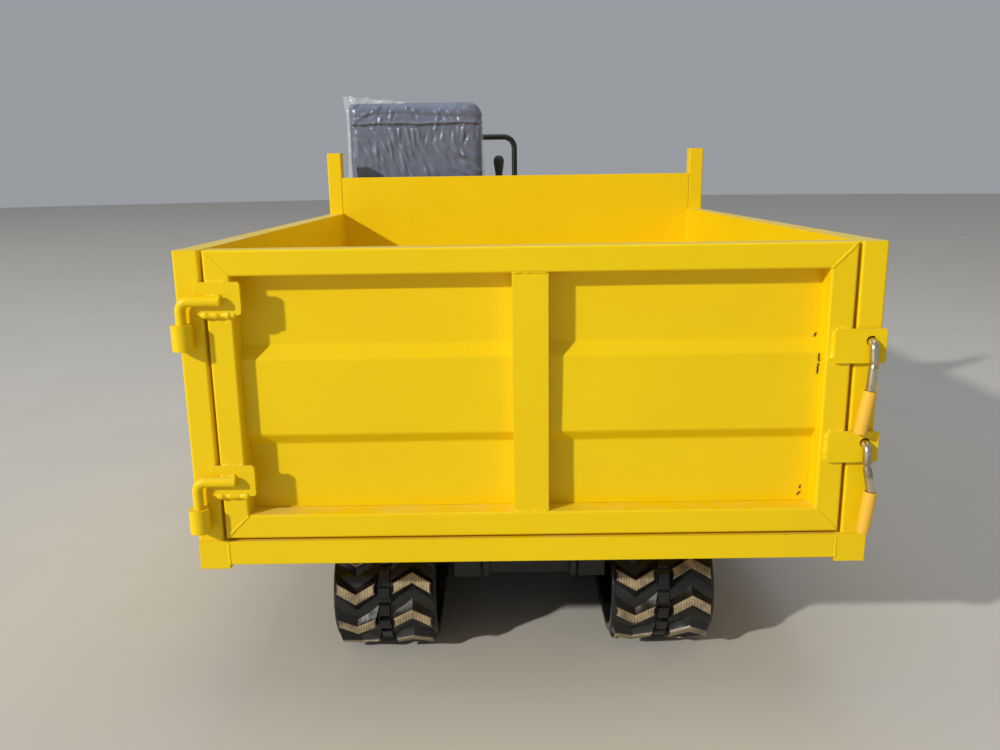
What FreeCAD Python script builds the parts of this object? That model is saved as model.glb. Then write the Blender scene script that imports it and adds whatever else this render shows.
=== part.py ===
import FreeCAD
import Part
import os
from math import acos, atan2, cos, degrees, hypot, pi, radians, sin, sqrt, tan

# Site dumper on rubber tracks, millimetres. X to the right seen from behind, Y forward, Z up.
# In the functions Y = 0 is the rear face of the closed gate and Z = 0 is the ground.
# The exported part has its origin on the ground under the middle of the whole machine.

# Loading bed
bed_width = 1350.0              # over the corner posts
bed_length = 1575.0             # gate's rear face to the headboard's rear face
wall_height = 585.0             # corner post
tube = 50.0                     # square tube of posts and top rails
tube_round = 5.0                # corner radius of a square tube
sheet = 4.0                     # wall, gate and floor sheet
floor_rail = 60.0               # square tube under each side wall
member_count = 8                # cross members under the floor, the rear sill and front tube among them
sill_drop = 1.0                 # rear sill's top below the floor rails'
longeron_width = 60.0
longeron_gap = 220.0            # between the two longerons, and between the chassis rails
longeron_drop = 7.0             # longeron's underside below the floor rails'
longeron_tail = 90.0            # longeron behind the tipping pivot
headboard_rise = 127.0          # above the side rails
stake_rise = 213.0              # above the side rails
side_ribs = 2                   # upright stiffeners on each side wall

# Gate
gate_gap = 7.0                  # between gate and corner post
gate_lift = 5.0                 # between gate and sill
floor_gap = 6.0                 # between gate and floor sheet
post_setback = 3.0              # corner post behind the gate's face
centre_bar = 70.0
centre_bar_recess = 4.0
rib_depth = 20.0                # pressed rib of the gate sheet
rib_bevel = 0.4                 # share of the sheet that keeps the rib's slopes as thick as its face
rib_drops = (191, 216, 370, 393)    # rib's slopes and face, down from the bed's top

# Hinges on the left, latches on the right
strap_thick = 8.0
strap_round = 6.0
strap_inner = 70.0              # hinge strap's reach over the gate from the gate's edge
strap_outer = 17.0              # hinge strap's reach past the gate's edge
latch_strap_inner = 37.0        # the same for a latch's strap, whose outer end is
latch_strap_outer = 6.0         # past the post's outer face
hinge_rod = 20.0
hinge_rod_sink = 0.5            # lying part of the hinge rod in its weld
hinge_pin_end = 2.0             # pin below its eye
hinge_axis_inset = 14.0         # from the post's outer face
hinge_eye = 40.0
hinge_web = 24.0                # plate between eye and post
rod_bend = 0.9                  # bend radius of a rod over its diameter
latch_rod = 16.0
latch_hole = 20.0
latch_depth = 20.0              # latch rod's reach into the post
post_hole_play = 2.0            # the post's hole round the strap's
post_hole_extra = 5.0           # the post's hole past the rod's end
latch_standoff = 8.0            # between the strap and the hanging part of a latch rod
handle_width = 34.0
handle_length = 84.0
running_gap = 0.05              # radial, shaft in hole
rest_gap = 0.3                  # between pieces that only lie against each other

# Heights in these rows are measured down from the bed's top, insets from the post's outer face.
hinge_rows = [
    {"strap_top": 59, "strap_bottom": 122, "rod": 93.5, "eye_top": 137.5, "eye_bottom": 187.5},
    {"strap_top": 423, "strap_bottom": 486, "rod": 452, "eye_top": 507.5, "eye_bottom": 556},
]
latch_rows = [
    {"strap_top": 165, "strap_bottom": 232, "hole_inset": 24, "hole_drop": 188.4, "grip_top": 283,
     "grip_lean": -11},
    {"strap_top": 369, "strap_bottom": 432, "hole_inset": 21, "hole_drop": 392, "grip_top": 487.5,
     "grip_lean": 3},
]

# Undercarriage
undercarriage_shift = -14.0     # its middle from the bed's middle, as the machine in the photo has it
track_width = 230.0
track_spacing = 623.0           # middle to middle
track_rear = 123.0              # rearmost point of the tracks ahead of the gate's face
track_clearance = 14.0          # tracks to the cross members of the bed
carcass = 20.0
idler_tip = 139.0               # radius of the lugs' tips round the rear idler
sprocket_tip = 131.0            # radius of the lugs' tips round the front sprocket
sprocket_ahead = 290.0          # sprocket's axis ahead of the deck's rear edge
sprocket_z = 165.0
sprocket_teeth = 9
sprocket_disc = 28.0            # thickness
sprocket_hub = 45.0             # radius of the boss outside the disc
tooth_height = 16.0
tooth_root = 40.0
tooth_tip = 18.0
tooth_sink = 8.0                # foot of a tooth inside the disc
last_roller_back = 240.0        # last roller's axis behind the sprocket's
first_roller_ahead = 190.0      # first roller's axis ahead of the idler's
roller_radius = 42.0
roller_count = 6
roller_rim = 20.0               # width of each of a roller's two rims
rim_inset = 9.0                 # rims inside the track frame's sides
rim_gap = 22.0                  # between a roller's two rims; the idler's web is 2 mm wider
frame_half = 40.0               # half width of a track frame
frame_height = 50.0
frame_gap = 6.0                 # rollers to the track frame above them
frame_nose = 60.0               # track frame past the last roller
fork = 6.0                      # thickness of roller and idler brackets
bracket = 52.0                  # length of a roller's bracket
bracket_hang = 12.0             # bracket below a roller's axis
idler_gap = 12.0                # track frame's end to the belt round the idler
idler_half = 32.0               # half width of the idler
idler_rim = 18.0
idler_hub = 30.0
idler_bracket = (28.0, 60.0, 20.0, 24.0)    # behind the axis, over the frame, below, above the axis
axle = 30.0
carrier_radius = 28.0           # roller that carries the upper run
carrier_sag = 1.0               # carrier below the straight line from idler to sprocket
carrier_half = 27.0
carrier_plate = 50.0
plate_rise = 20.0               # carrier's plate above its axis
motor_plate = 12.0              # thickness of the plates that hold motor and carrier
motor_plate_half = 50.0
motor_plate_gap = 3.0           # behind it, to the last roller
motor_radius = 39.5
motor_bore = 40.0
motor_flange = 48.0
motor_gap = 25.0                # motor to the chassis rail, before the undercarriage's shift

# Lugs, two columns of chevrons on each track, the left column's tips down behind
lug_height = 18.0
lug_length = 20.0               # of a lug's top along the track
lug_width = 82.0                # of its top across the track
lug_apex = 23.4                 # how far the chevron's tip leads its ends
lug_flare = 0.78                # each flank's growth along the track for 1 mm down
lug_end_flare = 0.33            # the same across the track
lug_root = 27.0                 # from a lug's top down to its foot inside the carcass
lug_column = 62.5               # column's middle from the track's middle
link_pitch = 72.0
cord_depth = 22.0               # steel cords under the lugs' tips, where the pitch holds
column_shift = 0.298            # right column ahead of the left one, in pitches
first_lug = {"left": 13.8, "right": 24.2}   # degrees over the idler's height, behind

# Chassis
chassis_rail_height = 100.0
bed_clearance = 5.0             # chassis rail to bed longeron
chassis_setback = 40.0          # chassis rails behind the deck's front edge
pivot_y = 150.0
pivot_rise = 25.0               # pivot above the longeron's underside
pivot_pin = 30.0
pin_past_ear = 4.0
pin_past_longeron = 2.0
ear = 12.0                      # thickness of pivot ears
ear_wall = 13.0                 # ear round its pin
ear_length = 150.0
ear_drop = 20.0                 # ear's foot under the top of the rail
side_gap = 6.0                  # ear to longeron
rail_tail = 30.0                # chassis rails start this far ahead of the pivot
first_brace = 50.0              # first cross tube ahead of the pivot
beam_width = 60.0               # beams from track frame to track frame
beam_hang = 10.0                # under the track frames
front_beam_back = 190.0         # behind the last roller
pad_back = 300.0                # bearing pad behind the headboard
pad_length = 80.0
pad_inset = 5.0

# Tipping cylinder
cylinder_reach = 650.0          # along the machine, foot to head
cylinder_foot_drop = 18.0       # foot's pin below the chassis rails
cylinder_head_drop = 42.0       # rod eye below the cross member
head_member = 3                 # cross member over the rod's eye, counted from the front
barrel = 70.0
rod = 40.0
rod_showing = 139.0             # between the gland and the rod's eye, bed down
gland_wall = 4.0
gland_length = 30.0
gland_seat = 10.0               # gland's overlap with the barrel
neck = 40.0
eye_width = 42.0
eye_radius = 28.0
eye_gap = 12.0                  # barrel's end to its eye
rod_inside = 20.0               # rod's end ahead of the barrel's bottom
bore_start = 40.0
cylinder_pin = 24.0
fork_gap = 1.0
foot_arm = 60.0                 # arms of the cylinder's foot
foot_beam_back = 100.0          # their beam behind the foot
foot_beam_rise = 25.0           # weld block on that beam, up between the rails

# Operator's deck
deck_gap = 45.0                 # headboard to deck
deck_length = 850.0
deck_width = 1280.0
deck_rise = 92.0                # above the chassis rails
deck_plate = 6.0
deck_beam = 50.0
deck_beam_depth = 56.0
deck_beam_in = 50.0             # rear beam ahead of the deck's edge
deck_beam_back = 20.0           # front beam behind the chassis' front tube
front_skirt = 60.0
side_skirt = 45.0

# Seat
seat_margin = 22.0              # from the deck's left edge
seat_width = 500.0
seat_setback = 20.0             # from the deck's rear edge
seat_base_height = 355.0
seat_base_length = 470.0
seat_base_inset = 10.0
seat_base_round = 15.0
cushion_thick = 120.0
cushion_length = 415.0
cushion_round = 25.0
back_thick = 100.0
back_height = 608.0
back_round = 45.0               # upper corners, seen from behind
back_edge = 20.0

# Controls
console_width = 200.0
console_depth = 90.0
console_height = 480.0
console_setback = 60.0          # from the deck's front edge
console_slope = 50.0            # its top's fall towards the driver
console_round = 12.0
lever_rod = 14.0
grip_radius = 17.0
grip_length = 110.0
grip_round = 0.5                # share of the grip's radius
stem_end = 5.0                  # stem's end under the grip's top
lever_spread = 50.0
lever_lean = 90.0
lever_rise = 230.0
lever_sink = 40.0               # lever's foot under the console's top
side_console_width = 130.0
side_console_height = 420.0
side_console_length = 340.0
side_console_ahead = 110.0      # of the seat's rear
side_console_gap = 15.0         # to the engine's hood
seat_to_console = 33.0
# x from the side console's left, y from the seat's rear, height above the console
side_levers = [
    {"x": 25.5, "y": 260.0, "height": 351.0, "radius": 21.5, "length": 95.0},
    {"x": 75.0, "y": 320.0, "height": 160.0, "radius": 16.0, "length": 60.0},
    {"x": 25.5, "y": 370.0, "height": 140.0, "radius": 16.0, "length": 60.0},
]
rail_tube = 25.0
rail_bend = 50.0
rail_height = 876.0
rail_to_hood = 48.0
rail_margin = 40.0              # from the deck's left edge
rail_setback = 25.0             # from the deck's front edge

# Fuel tank
tank_margin = 5.0
tank_width = 120.0
tank_gap = 60.0                 # seat base to tank
tank_height = 280.0
tank_setback = 40.0
tank_round = 20.0
cap_radius = 34.0
cap_height = 30.0

# Engine
hood_setback = 30.0             # from the deck's rear and front edges
hood_height = 580.0
hood_wall = 5.0
hood_round = 30.0
lid_height = 100.0
lid_gap = 5.0
lid_round = 20.0
hood_hinge_pin = 12.0
hood_hinge_out = 10.0           # hinge's axis in front of the hood and above its body
hood_hinge_inset = 120.0
hinge_ear = 10.0
hinge_ear_half = 8.0
hinge_half = 30.0               # half width over a hinge's ears
hinge_foot = 40.0               # ears' foot under the body's top
hinge_plate_drop = 12.0
knuckle_half = 15.0
knuckle_radius = 11.0
knuckle_web = 4.0
engine_gap = 85.0               # engine to the hood's side walls
engine_end_gap = 140.0          # engine to its end walls
engine_top_gap = 75.0           # engine to the lid's edge
grille_end = 170.0              # window's ends from the hood's
grille_low = 120.0
grille_high = 90.0
grille_rim = 12.0
louvre_count = 9
louvre_rise = 0.55              # blade's rise over its pitch
louvre_thick = 0.2              # blade's thickness over its pitch
exhaust_tube = 42.0
exhaust_inset = 60.0
exhaust_height = 220.0
exhaust_out = 45.0
exhaust_drop = 100.0
exhaust_bend = 0.55             # bend radius over the tube's diameter

# Front
bumper_height = 60.0
bumper_depth = 40.0
bumper_width = 1000.0
bumper_setout = 20.0            # bumper in front of the deck
bumper_round = 8.0
bumper_overlap = 5.0            # bumper's top over the deck's underside
bracket_inset = 10.0            # bumper's brackets inside its height
bracket_sink = 5.0
lamp_radius = 55.0
lamp_depth = 50.0
lamp_x = 430.0
lamp_round = 10.0
lamp_foot = 15.0                # half width
lamp_stand = 20.0               # between bumper and lamp
lamp_inset = 10.0
step_tube = 22.0
step_length = 260.0
step_drop = 174.0               # under the deck's plate
step_setback = 30.0
step_bend = 1.8                 # bend radius over the tube's diameter
tow_plate = 20.0
tow_reach = 50.0
tow_hole = 26.0
tow_radius = 28.0
tow_rise = 20.0                 # above the bumper's underside

# Values that follow from the sizes above
V = FreeCAD.Vector
half = bed_width / 2
inner = half - tube
belt = carcass + lug_height
idler_z = idler_tip
floor_rail_top = max(2 * idler_tip, sprocket_z + sprocket_tip) + track_clearance + tube
floor_rail_bottom = floor_rail_top - floor_rail
floor_top = floor_rail_top + sheet
bed_top = floor_rail_top + wall_height
bed_front = bed_length + tube
member_pitch = (bed_front - tube) / (member_count - 1)
member_bottom = floor_rail_top - tube
gate_half = inner - gate_gap
gate_bottom = floor_rail_top + gate_lift
longeron_in = longeron_gap / 2
longeron_out = longeron_in + longeron_width
longeron_bottom = floor_rail_bottom - longeron_drop
chassis_top = longeron_bottom - bed_clearance
chassis_bottom = chassis_top - chassis_rail_height
pivot_z = longeron_bottom + pivot_rise
hinge_x = -half + hinge_axis_inset
hinge_y = -strap_thick - hinge_rod / 2
latch_front_y = -strap_thick - latch_rod / 2 - latch_standoff
deck_z = chassis_top + deck_rise
deck_under = deck_z - deck_plate
deck_rear = bed_front + deck_gap
deck_front = deck_rear + deck_length
deck_half = deck_width / 2
chassis_front = deck_front - chassis_setback
track_mid = track_spacing / 2
idler_y = track_rear + idler_tip
sprocket_y = deck_rear + sprocket_ahead
last_roller_y = sprocket_y - last_roller_back
roller_z = belt + roller_radius
frame_bottom = roller_z + roller_radius + frame_gap
frame_top = frame_bottom + frame_height
lug_reach = (lug_apex + lug_length) / 2
head_y = bed_front - tube / 2 - (head_member - 1) * member_pitch
head_z = member_bottom - cylinder_head_drop
foot_y = head_y - cylinder_reach
foot_z = chassis_bottom - cylinder_foot_drop
foot_beam_y = foot_y - foot_beam_back
front_beam_y = last_roller_y - front_beam_back
seat_left = -deck_half + seat_margin
seat_right = seat_left + seat_width
seat_x = (seat_left + seat_right) / 2
seat_rear = deck_rear + seat_setback
seat_z = deck_z + seat_base_height + rest_gap
console_y = deck_front - console_setback - console_depth
console_top = deck_z + console_height
side_console_x = seat_right + seat_to_console
side_console_top = deck_z + side_console_height
hood_left = side_console_x + side_console_width + side_console_gap
hood_right = deck_half
hood_rear = deck_rear + hood_setback
hood_front = deck_front - hood_setback
hood_top = deck_z + hood_height
body_top = hood_top - lid_height - lid_gap
hinge_hood_y = hood_front + hood_hinge_out
hinge_hood_z = body_top + hood_hinge_out
bumper_bottom = deck_under + bumper_overlap - bumper_height
bumper_top = bumper_bottom + bumper_height
bumper_front = deck_front + bumper_setout + bumper_depth
rear_reach = handle_width / 2 - latch_front_y
shift_y = (rear_reach - bumper_front - tow_reach) / 2


def block(x0, x1, y0, y1, z0, z1):
    """Box between two corners."""
    return Part.makeBox(x1 - x0, y1 - y0, z1 - z0, V(x0, y0, z0))


def mirrored(shape):
    """The same piece on the other side of the machine."""
    return shape.mirror(V(0, 0, 0), V(1, 0, 0))


def rod_between(start, end, radius):
    """Round bar from one point to another."""
    a = V(*start)
    b = V(*end)
    return Part.makeCylinder(radius, (b - a).Length, a, b - a)


def disc_x(x0, x1, y, z, radius):
    """Round bar across the machine."""
    return rod_between((x0, y, z), (x1, y, z), radius)


def joined(shapes):
    """One solid from pieces that touch or overlap."""
    whole = shapes[0].fuse(shapes[1:]) if len(shapes) > 1 else shapes[0]
    return whole.removeSplitter()


def prism_x(points, x0, x1):
    """Outline of (y, z) points, run from x0 to x1."""
    face = Part.Face(Part.makePolygon([V(x0, y, z) for y, z in points + points[:1]]))
    return face.extrude(V(x1 - x0, 0, 0))


def rounded(shape, radius, keep):
    """Fillets on the edges that keep(edge) accepts."""
    edges = [edge for edge in shape.Edges if keep(edge)]
    return shape.makeFillet(radius, edges) if edges else shape


def runs_along(edge, axis):
    """True for a straight edge along one of the axes 0, 1, 2."""
    if edge.Curve.TypeId != "Part::GeomLine":
        return False
    a, b = edge.Vertexes[0].Point, edge.Vertexes[-1].Point
    return all(abs(b[i] - a[i]) < 1e-6 for i in range(3) if i != axis)


def swept_tube(points, radius, bend):
    """Round tube along straight runs that are joined by tangent arcs."""
    corners = [V(*p) for p in points]
    edges = []
    at = corners[0]
    for before, corner, after in zip(corners, corners[1:], corners[2:]):
        u = (before - corner).normalize()
        w = (after - corner).normalize()
        half_angle = acos(u.dot(w)) / 2
        cut = bend / tan(half_angle)
        start = corner + u * cut
        end = corner + w * cut
        middle = corner + (u + w).normalize() * (bend / sin(half_angle) - bend)
        edges.append(Part.LineSegment(at, start).toShape())
        edges.append(Part.Arc(start, middle, end).toShape())
        at = end
    edges.append(Part.LineSegment(at, corners[-1]).toShape())
    path = Part.Wire(edges)
    ring = Part.Wire(Part.makeCircle(radius, corners[0], corners[1] - corners[0]))
    return path.makePipeShell([ring], True, True)


# Bed

def floor_rails():
    side = block(half - floor_rail, half, 0, bed_front, floor_rail_bottom, floor_rail_top)
    return Part.makeCompound([side, mirrored(side)])


def longerons():
    """Two lengthwise tubes under the floor, each with its half of the tipping pivot's pin."""
    longeron = block(longeron_in, longeron_out, pivot_y - longeron_tail, bed_front, longeron_bottom,
                     floor_rail_top)
    pin = disc_x(longeron_in - side_gap - ear - pin_past_ear, longeron_out + pin_past_longeron,
                 pivot_y, pivot_z, pivot_pin / 2)
    longeron = joined([longeron, pin])
    return Part.makeCompound([longeron, mirrored(longeron)])


def cross_members():
    """The rear sill in one length, then tubes cut to fit between rails and longerons."""
    rail_in = half - floor_rail
    sill_top = floor_rail_top - sill_drop
    members = [block(-rail_in, rail_in, 0, tube, sill_top - tube, sill_top)]
    for number in range(1, member_count):
        y = number * member_pitch
        for x0, x1 in ((-rail_in, -longeron_out), (-longeron_in, longeron_in),
                       (longeron_out, rail_in)):
            member = block(x0, x1, y, y + tube, member_bottom, floor_rail_top)
            if number == member_count - head_member and x0 == -longeron_in:
                member = joined([member] + head_cheeks())
            members.append(member)
    return Part.makeCompound(members)


def fork_sides():
    """Left edges of the two plates that hold an eye of the cylinder between them."""
    return (eye_width / 2 + fork_gap, -eye_width / 2 - fork_gap - ear)


def head_cheeks():
    plates = []
    for x in fork_sides():
        plates.append(disc_x(x, x + ear, head_y, head_z, eye_radius))
        plates.append(block(x, x + ear, head_y - eye_radius, head_y + eye_radius, head_z,
                            member_bottom))
    return plates


def bed_floor():
    return block(-inner, inner, tube + floor_gap, bed_length, floor_rail_top, floor_top)


def corner_post(x0, x1):
    post = block(x0, x1, post_setback, tube, floor_rail_top, bed_top)
    return rounded(post, tube_round, lambda edge: runs_along(edge, 2))


def post_right():
    post = corner_post(inner, half)
    for row in latch_rows:
        x = half - row["hole_inset"]
        z = bed_top - row["hole_drop"]
        post = post.cut(rod_between((x, 0, z), (x, latch_depth + post_hole_extra, z),
                                    latch_hole / 2 + post_hole_play))
    return post


def post_left():
    shapes = [corner_post(-half, -inner)]
    for row in hinge_rows:
        top = bed_top - row["eye_top"]
        bottom = bed_top - row["eye_bottom"]
        shapes.append(rod_between((hinge_x, hinge_y, bottom), (hinge_x, hinge_y, top), hinge_eye / 2))
        shapes.append(block(hinge_x - hinge_web / 2, hinge_x + hinge_web / 2, hinge_y,
                            post_setback + 1, bottom, top))
    post = joined(shapes)
    for row in hinge_rows:
        post = post.cut(rod_between((hinge_x, hinge_y, bed_top - row["eye_bottom"] - 1),
                                    (hinge_x, hinge_y, bed_top - row["eye_top"] + 1),
                                    hinge_rod / 2 + running_gap))
    return post


def bed_side_right():
    wall = block(inner, inner + sheet, tube, bed_length, floor_rail_top, bed_top)
    top = block(inner, half, tube, bed_length, bed_top - tube, bed_top)
    top = rounded(top, tube_round, lambda edge: runs_along(edge, 1))
    shapes = [wall, top]
    step = (bed_length - tube) / (side_ribs + 1)
    for number in range(side_ribs):
        y = tube + step * (number + 1)
        shapes.append(block(inner, half, y - tube / 2, y + tube / 2, floor_rail_top, bed_top - tube))
    return joined(shapes)


def headboard():
    base = floor_rail_top
    top = bed_top + headboard_rise
    shapes = [block(-inner, inner, bed_length, bed_length + sheet, base, top),
              block(-inner, inner, bed_length, bed_front, top - tube, top),
              block(-inner, inner, bed_length, bed_front, base, base + tube)]
    for x in (-inner + tube / 2, 0, inner - tube / 2):
        shapes.append(block(x - tube / 2, x + tube / 2, bed_length, bed_front, base, top))
    return joined(shapes)


def stake_posts():
    stake = block(inner, half, bed_length, bed_front, floor_rail_top, bed_top + stake_rise)
    stake = rounded(stake, tube_round, lambda edge: runs_along(edge, 2))
    return Part.makeCompound([stake, mirrored(stake)])


# Gate

def gate_frame():
    outer = block(-gate_half, gate_half, 0, tube, gate_bottom, bed_top)
    hollow = block(-gate_half + tube, gate_half - tube, -1, tube + 1, gate_bottom + tube,
                   bed_top - tube)
    frame = outer.cut(hollow)
    return rounded(frame, tube_round, lambda edge: not runs_along(edge, 1))


def rib_profile(face, back, bevel):
    """Outline of the gate sheet's pressed rib, one side of the sheet, out to y = back."""
    z = [bed_top - drop for drop in rib_drops]
    return [(back, z[0] - bevel), (face, z[0] - bevel), (face - rib_depth, z[1] - bevel),
            (face - rib_depth, z[2] + bevel), (face, z[3] + bevel), (back, z[3] + bevel)]


def gate_panel():
    x1 = gate_half - tube
    flat = block(-x1, x1, tube - sheet, tube, gate_bottom + tube, bed_top - tube)
    rib = prism_x(rib_profile(tube - sheet, tube, 0), -x1, x1)
    hollow = prism_x(rib_profile(tube, tube + 1, sheet * rib_bevel), -x1, x1)
    return flat.fuse(rib).cut(hollow).removeSplitter()


def gate_centre_bar():
    bar = block(-centre_bar / 2, centre_bar / 2, centre_bar_recess, tube - sheet,
                gate_bottom + tube, bed_top - tube)
    return bar.cut(prism_x(rib_profile(tube - sheet, tube, 0), -centre_bar, centre_bar))


def strap(x0, x1, row):
    plate = block(x0, x1, -strap_thick, 0, bed_top - row["strap_bottom"], bed_top - row["strap_top"])
    return rounded(plate, strap_round, lambda edge: runs_along(edge, 1))


def gate_hinges():
    shapes = []
    y = hinge_y + hinge_rod_sink
    for row in hinge_rows:
        plate = strap(-gate_half - strap_outer, -gate_half + strap_inner, row)
        z = bed_top - row["rod"]
        eye_top = bed_top - row["eye_top"]
        lying = swept_tube([(-gate_half + strap_inner / 2, y, z), (hinge_x, y, z),
                            (hinge_x, y, eye_top + 1)], hinge_rod / 2, hinge_rod * rod_bend)
        pin = rod_between((hinge_x, hinge_y, bed_top - row["eye_bottom"] - hinge_pin_end),
                          (hinge_x, hinge_y, eye_top + 2), hinge_rod / 2)
        shapes.append(joined([plate, lying, pin]))
    return Part.makeCompound(shapes)


def latch_plates():
    plates = []
    for row in latch_rows:
        plate = strap(gate_half - latch_strap_inner, half + latch_strap_outer, row)
        x = half - row["hole_inset"]
        z = bed_top - row["hole_drop"]
        hole = rod_between((x, -strap_thick - 1, z), (x, 1, z), latch_hole / 2)
        plates.append(plate.cut(hole))
    return Part.makeCompound(plates)


def latch_rod_z(row):
    """The rod rests on the lower edge of the strap's hole."""
    return bed_top - row["hole_drop"] - (latch_hole - latch_rod) / 2 + rest_gap


def latch_hooks():
    hooks = []
    for row in latch_rows:
        x = half - row["hole_inset"]
        z = latch_rod_z(row)
        hooks.append(swept_tube([(x, latch_depth, z), (x, latch_front_y, z),
                                 (x, latch_front_y, bed_top - row["grip_top"])],
                                latch_rod / 2, latch_rod * rod_bend))
    return Part.makeCompound(hooks)


def latch_handles():
    grips = []
    rods = latch_hooks()
    for row in latch_rows:
        x = half - row["hole_inset"]
        top = bed_top - row["grip_top"]
        y = latch_front_y
        grips.append(rod_between((x, y, top), (x + row["grip_lean"], y, top - handle_length),
                                 handle_width / 2).cut(rods))
    return Part.makeCompound(grips)


# Tracks. A wheel is (y, z, radius of the lugs' tips round it), in the belt's running order.

def belt_wheels():
    return [(idler_y, idler_z, idler_tip),
            (last_roller_y, belt + roller_radius, belt + roller_radius),
            (sprocket_y, sprocket_z, sprocket_tip)]


def belt_arcs(depth):
    """For each wheel its centre, radius and the angles where the belt meets and leaves it.

    depth is measured inwards from the lugs' tips. The belt's outward normal is at right angles
    to the tangent that two wheels share, so its angle follows from their distance and radii.
    """
    wheels = [(y, z, r - depth) for y, z, r in belt_wheels()]
    leave = []
    for (y1, z1, r1), (y2, z2, r2) in zip(wheels, wheels[1:] + wheels[:1]):
        reach = hypot(y2 - y1, z2 - z1)
        leave.append(atan2(z2 - z1, y2 - y1) - acos((r1 - r2) / reach))
    arcs = []
    for number, (y, z, r) in enumerate(wheels):
        meet = leave[number - 1]
        arcs.append((y, z, r, meet, meet + (leave[number] - meet) % (2 * pi)))
    return arcs


def on_arc(arc, angle):
    y, z, r = arc[:3]
    return V(0, y + r * cos(angle), z + r * sin(angle))


def belt_stretches(depth):
    """The belt's arcs, each with its length, the straight that follows it and the next radius."""
    arcs = belt_arcs(depth)
    for arc, following in zip(arcs, arcs[1:] + arcs[:1]):
        y, z, r, start, end = arc
        yield arc, r * (end - start), on_arc(arc, end), on_arc(following, following[3]), following[2]


def belt_face(depth):
    """Closed side outline of the belt, at one depth under the lugs' tips.

    The belt bends between the steel cores of its links, so round a wheel it is a polygon, with
    one flat to a link, that touches the wheel's circle.
    """
    corners = []
    for y, z, r, start, end in belt_arcs(depth):
        bends = max(1, round((r + depth - cord_depth) * (end - start) / link_pitch))
        step = (end - start) / bends
        for number in range(bends):
            angle = start + (number + 0.5) * step
            reach = r / cos(step / 2)
            corners.append(V(0, y + reach * cos(angle), z + reach * sin(angle)))
    return Part.Face(Part.makePolygon(corners + corners[:1]))


def lug_place(run):
    """Middle of a lug's top and its outward angle, at a run along the cords.

    The top is lowered where its ends would stand out of the tips' circle round a wheel.
    """
    for arc, bend, a, b, next_r in belt_stretches(cord_depth):
        y, z, r, start, end = arc
        if run < bend:
            angle = start + run / r
            rise = sqrt((r + cord_depth) ** 2 - lug_reach ** 2)
            return V(0, y + rise * cos(angle), z + rise * sin(angle)), angle
        run -= bend
        left = (b - a).Length - run
        if left > 0:
            rise = cord_depth
            for beyond, tips in ((lug_reach - run, r + cord_depth), (lug_reach - left, next_r + cord_depth)):
                if beyond > 0:
                    rise = min(rise, cord_depth + tips - hypot(tips, beyond))
            return a + (b - a).normalize() * run + V(0, cos(end), sin(end)) * rise, end
        run = -left
    return lug_place(run)


def lug():
    """Chevron with flared flanks: its top lies at z = 0 and its tip points to -y."""
    slope = 2 * lug_apex / lug_width
    rings = []
    for depth in (0, lug_root):
        w = lug_width / 2 + lug_end_flare * depth
        h = lug_length / 2 + lug_flare * depth
        tip = -lug_apex / 2
        ends = tip + slope * w
        rings.append([V(-w, ends - h, -depth), V(0, tip - h, -depth), V(w, ends - h, -depth),
                      V(w, ends + h, -depth), V(0, tip + h, -depth), V(-w, ends + h, -depth)])
    top, foot = rings
    faces = [Part.Face(Part.makePolygon(ring + ring[:1])) for ring in rings]
    for i in range(len(top)):
        j = (i + 1) % len(top)
        faces.append(Part.Face(Part.makePolygon([top[i], top[j], foot[j], foot[i], top[i]])))
    solid = Part.Solid(Part.Shell(faces))
    return solid if solid.Volume > 0 else solid.reversed()


def track(side):
    """Belt with its lugs; the pattern is the same on both sides, not mirrored."""
    sign = 1 if side == "right" else -1
    x = undercarriage_shift + sign * track_mid
    ring = belt_face(lug_height).cut(belt_face(belt)).extrude(V(track_width, 0, 0))
    ring.translate(V(x - track_width / 2, 0, 0))
    stretches = list(belt_stretches(cord_depth))
    length = sum(bend + (b - a).Length for arc, bend, a, b, next_r in stretches)
    links = round(length / link_pitch)
    y, z, r, start, end = stretches[0][0]
    first = r * (-pi - radians(first_lug[side]) - start)
    shapes = [ring]
    for column, turn, ahead in ((-lug_column, 0, 0), (lug_column, 180, -column_shift)):
        for number in range(links):
            point, angle = lug_place((first + (number + ahead) * length / links) % length)
            piece = lug()
            piece.rotate(V(0, 0, 0), V(0, 0, 1), turn)
            piece.rotate(V(0, 0, 0), V(1, 0, 0), degrees(angle) - 90)
            piece.translate(point + V(x + column, 0, 0))
            shapes.append(piece)
    return joined(shapes)


def roller_places():
    first = idler_y + first_roller_ahead
    step = (last_roller_y - first) / (roller_count - 1)
    return [first + step * number for number in range(roller_count)]


def carrier_place():
    """Axis of the roller that carries the upper run, halfway between idler and sprocket."""
    inside = (idler_z + idler_tip + sprocket_z + sprocket_tip) / 2 - belt
    return (idler_y + sprocket_y) / 2, inside - carrier_radius - rest_gap - carrier_sag


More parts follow.
